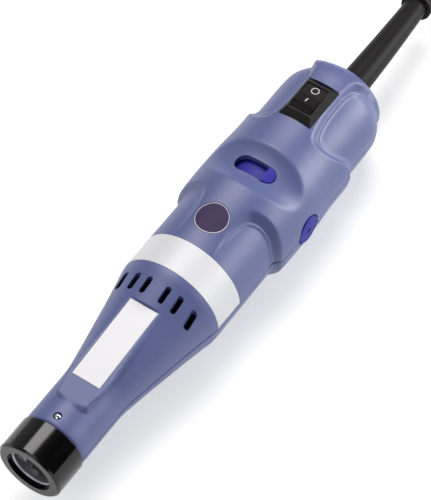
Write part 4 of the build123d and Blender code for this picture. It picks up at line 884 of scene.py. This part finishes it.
# %% [markdown]
# ## Mains lead
# The lead leaves the strain relief behind the tool, drops to the table and goes into a
# hank in line with the tool, tied at its waist with a woven strap, with the plug lying on
# it. The photograph ends on the strain relief, so the lead is put away just outside the
# picture. One NURBS spline is its centre line.

# %% Lead
CORD_D = 6.2
TIP = Vector((-2.6, 276.6, -4.0))
HEADING = Vector((-0.147, 1, -0.15)).normalized()
STRAP_THICK, CLEARANCE = 0.8, 0.3
HANK_X, HANK_Y, HANK_FLOOR = 1.0, 400.0, -BELLY + STRAP_THICK + CLEARANCE + CORD_D / 2
HALF_RUN, INNER_R, PITCH, RISE, DRAW, TURNS = 48.0, 19.0, 7.1, 6.8, 12.0, 4
TURN_LENGTH = 4 * HALF_RUN + 2 * pi * (INNER_R + PITCH / 2)
RUN_SHARE = 2 * HALF_RUN / TURN_LENGTH
FOLD_SHARE = 0.5 - RUN_SHARE
reversals = [RUN_SHARE / 2 + k for k in (1, 2, 3)]


def hank_point(turn):
    """Centre line of the put-away hank, in turns from its start."""
    half, side = (turn % 1, 1) if turn % 1 < 0.5 else (turn % 1 - 0.5, -1)
    r = INNER_R + PITCH * min(abs(turn - reversals[0]), abs(turn - reversals[2]))
    if half < RUN_SHARE:
        along = HALF_RUN * (2 * half / RUN_SHARE - 1)
        out = DRAW * (1 + cos(pi * along / HALF_RUN)) / 2 - r
    else:
        a = pi * (half - RUN_SHARE) / FOLD_SHARE
        along, out = HALF_RUN + r * sin(a), -r * cos(a)
    climbed = sum(min(max((turn - k) / RUN_SHARE + 0.5, 0), 1) for k in reversals)
    return Vector((HANK_X + side * out, HANK_Y + side * along, HANK_FLOOR + RISE * climbed))


shares = [RUN_SHARE * k / 6 for k in range(6)]
shares += [RUN_SHARE + FOLD_SHARE * k / 8 for k in range(8)]
loops = [hank_point(0.5 * half + share) for half in range(2 * TURNS) for share in shares]
ALONG = Vector((0, 1, 0))
# from the strain relief's tip to the hank, and from the hank to the plug
lead_in = hank_point(0) - ALONG * CORD_D
lead_out = hank_point(TURNS) + ALONG * CORD_D
lead_route = [
    TIP, TIP + HEADING * 14.8, Vector((-11.5, 304.1, -11.0)), Vector((-20.95, 315.35, -16.7)),
    lead_in - ALONG * 15.7, lead_in,
]
PLUG_THICK = 13.7
hank_top = HANK_FLOOR + 3 * RISE + CORD_D / 2
plug_entry = Vector((-5.5, 440.0, hank_top + CLEARANCE + PLUG_THICK / 2))
tail_route = [
    lead_out + ALONG * 16.1, Vector((-21.8, 395.1, 9.75)), Vector((-10.3, 411.9, 12.8)),
    plug_entry - ALONG * 13.2, plug_entry,
]
route = lead_route + loops[1:] + [lead_out] + tail_route
line = bpy.data.curves.new("mains_lead", "CURVE")
line.dimensions = "3D"
spline = line.splines.new("NURBS")
spline.points.add(len(route) - 1)
for knot, p in zip(spline.points, route):
    knot.co = (*(p * MM), 1)
spline.order_u = 3
spline.use_endpoint_u = True
line.bevel_depth = CORD_D / 2 * MM
line.bevel_resolution = 5
line.resolution_u = 6
line.use_fill_caps = True
lead = bpy.data.objects.new("mains_lead", line)
scene.collection.objects.link(lead)
lead.data.materials.append(materials["cord_grey"])
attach(lead, "body")
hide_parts("cord_lead", "cord_hank", "cord_tail")
print("route points", len(route))
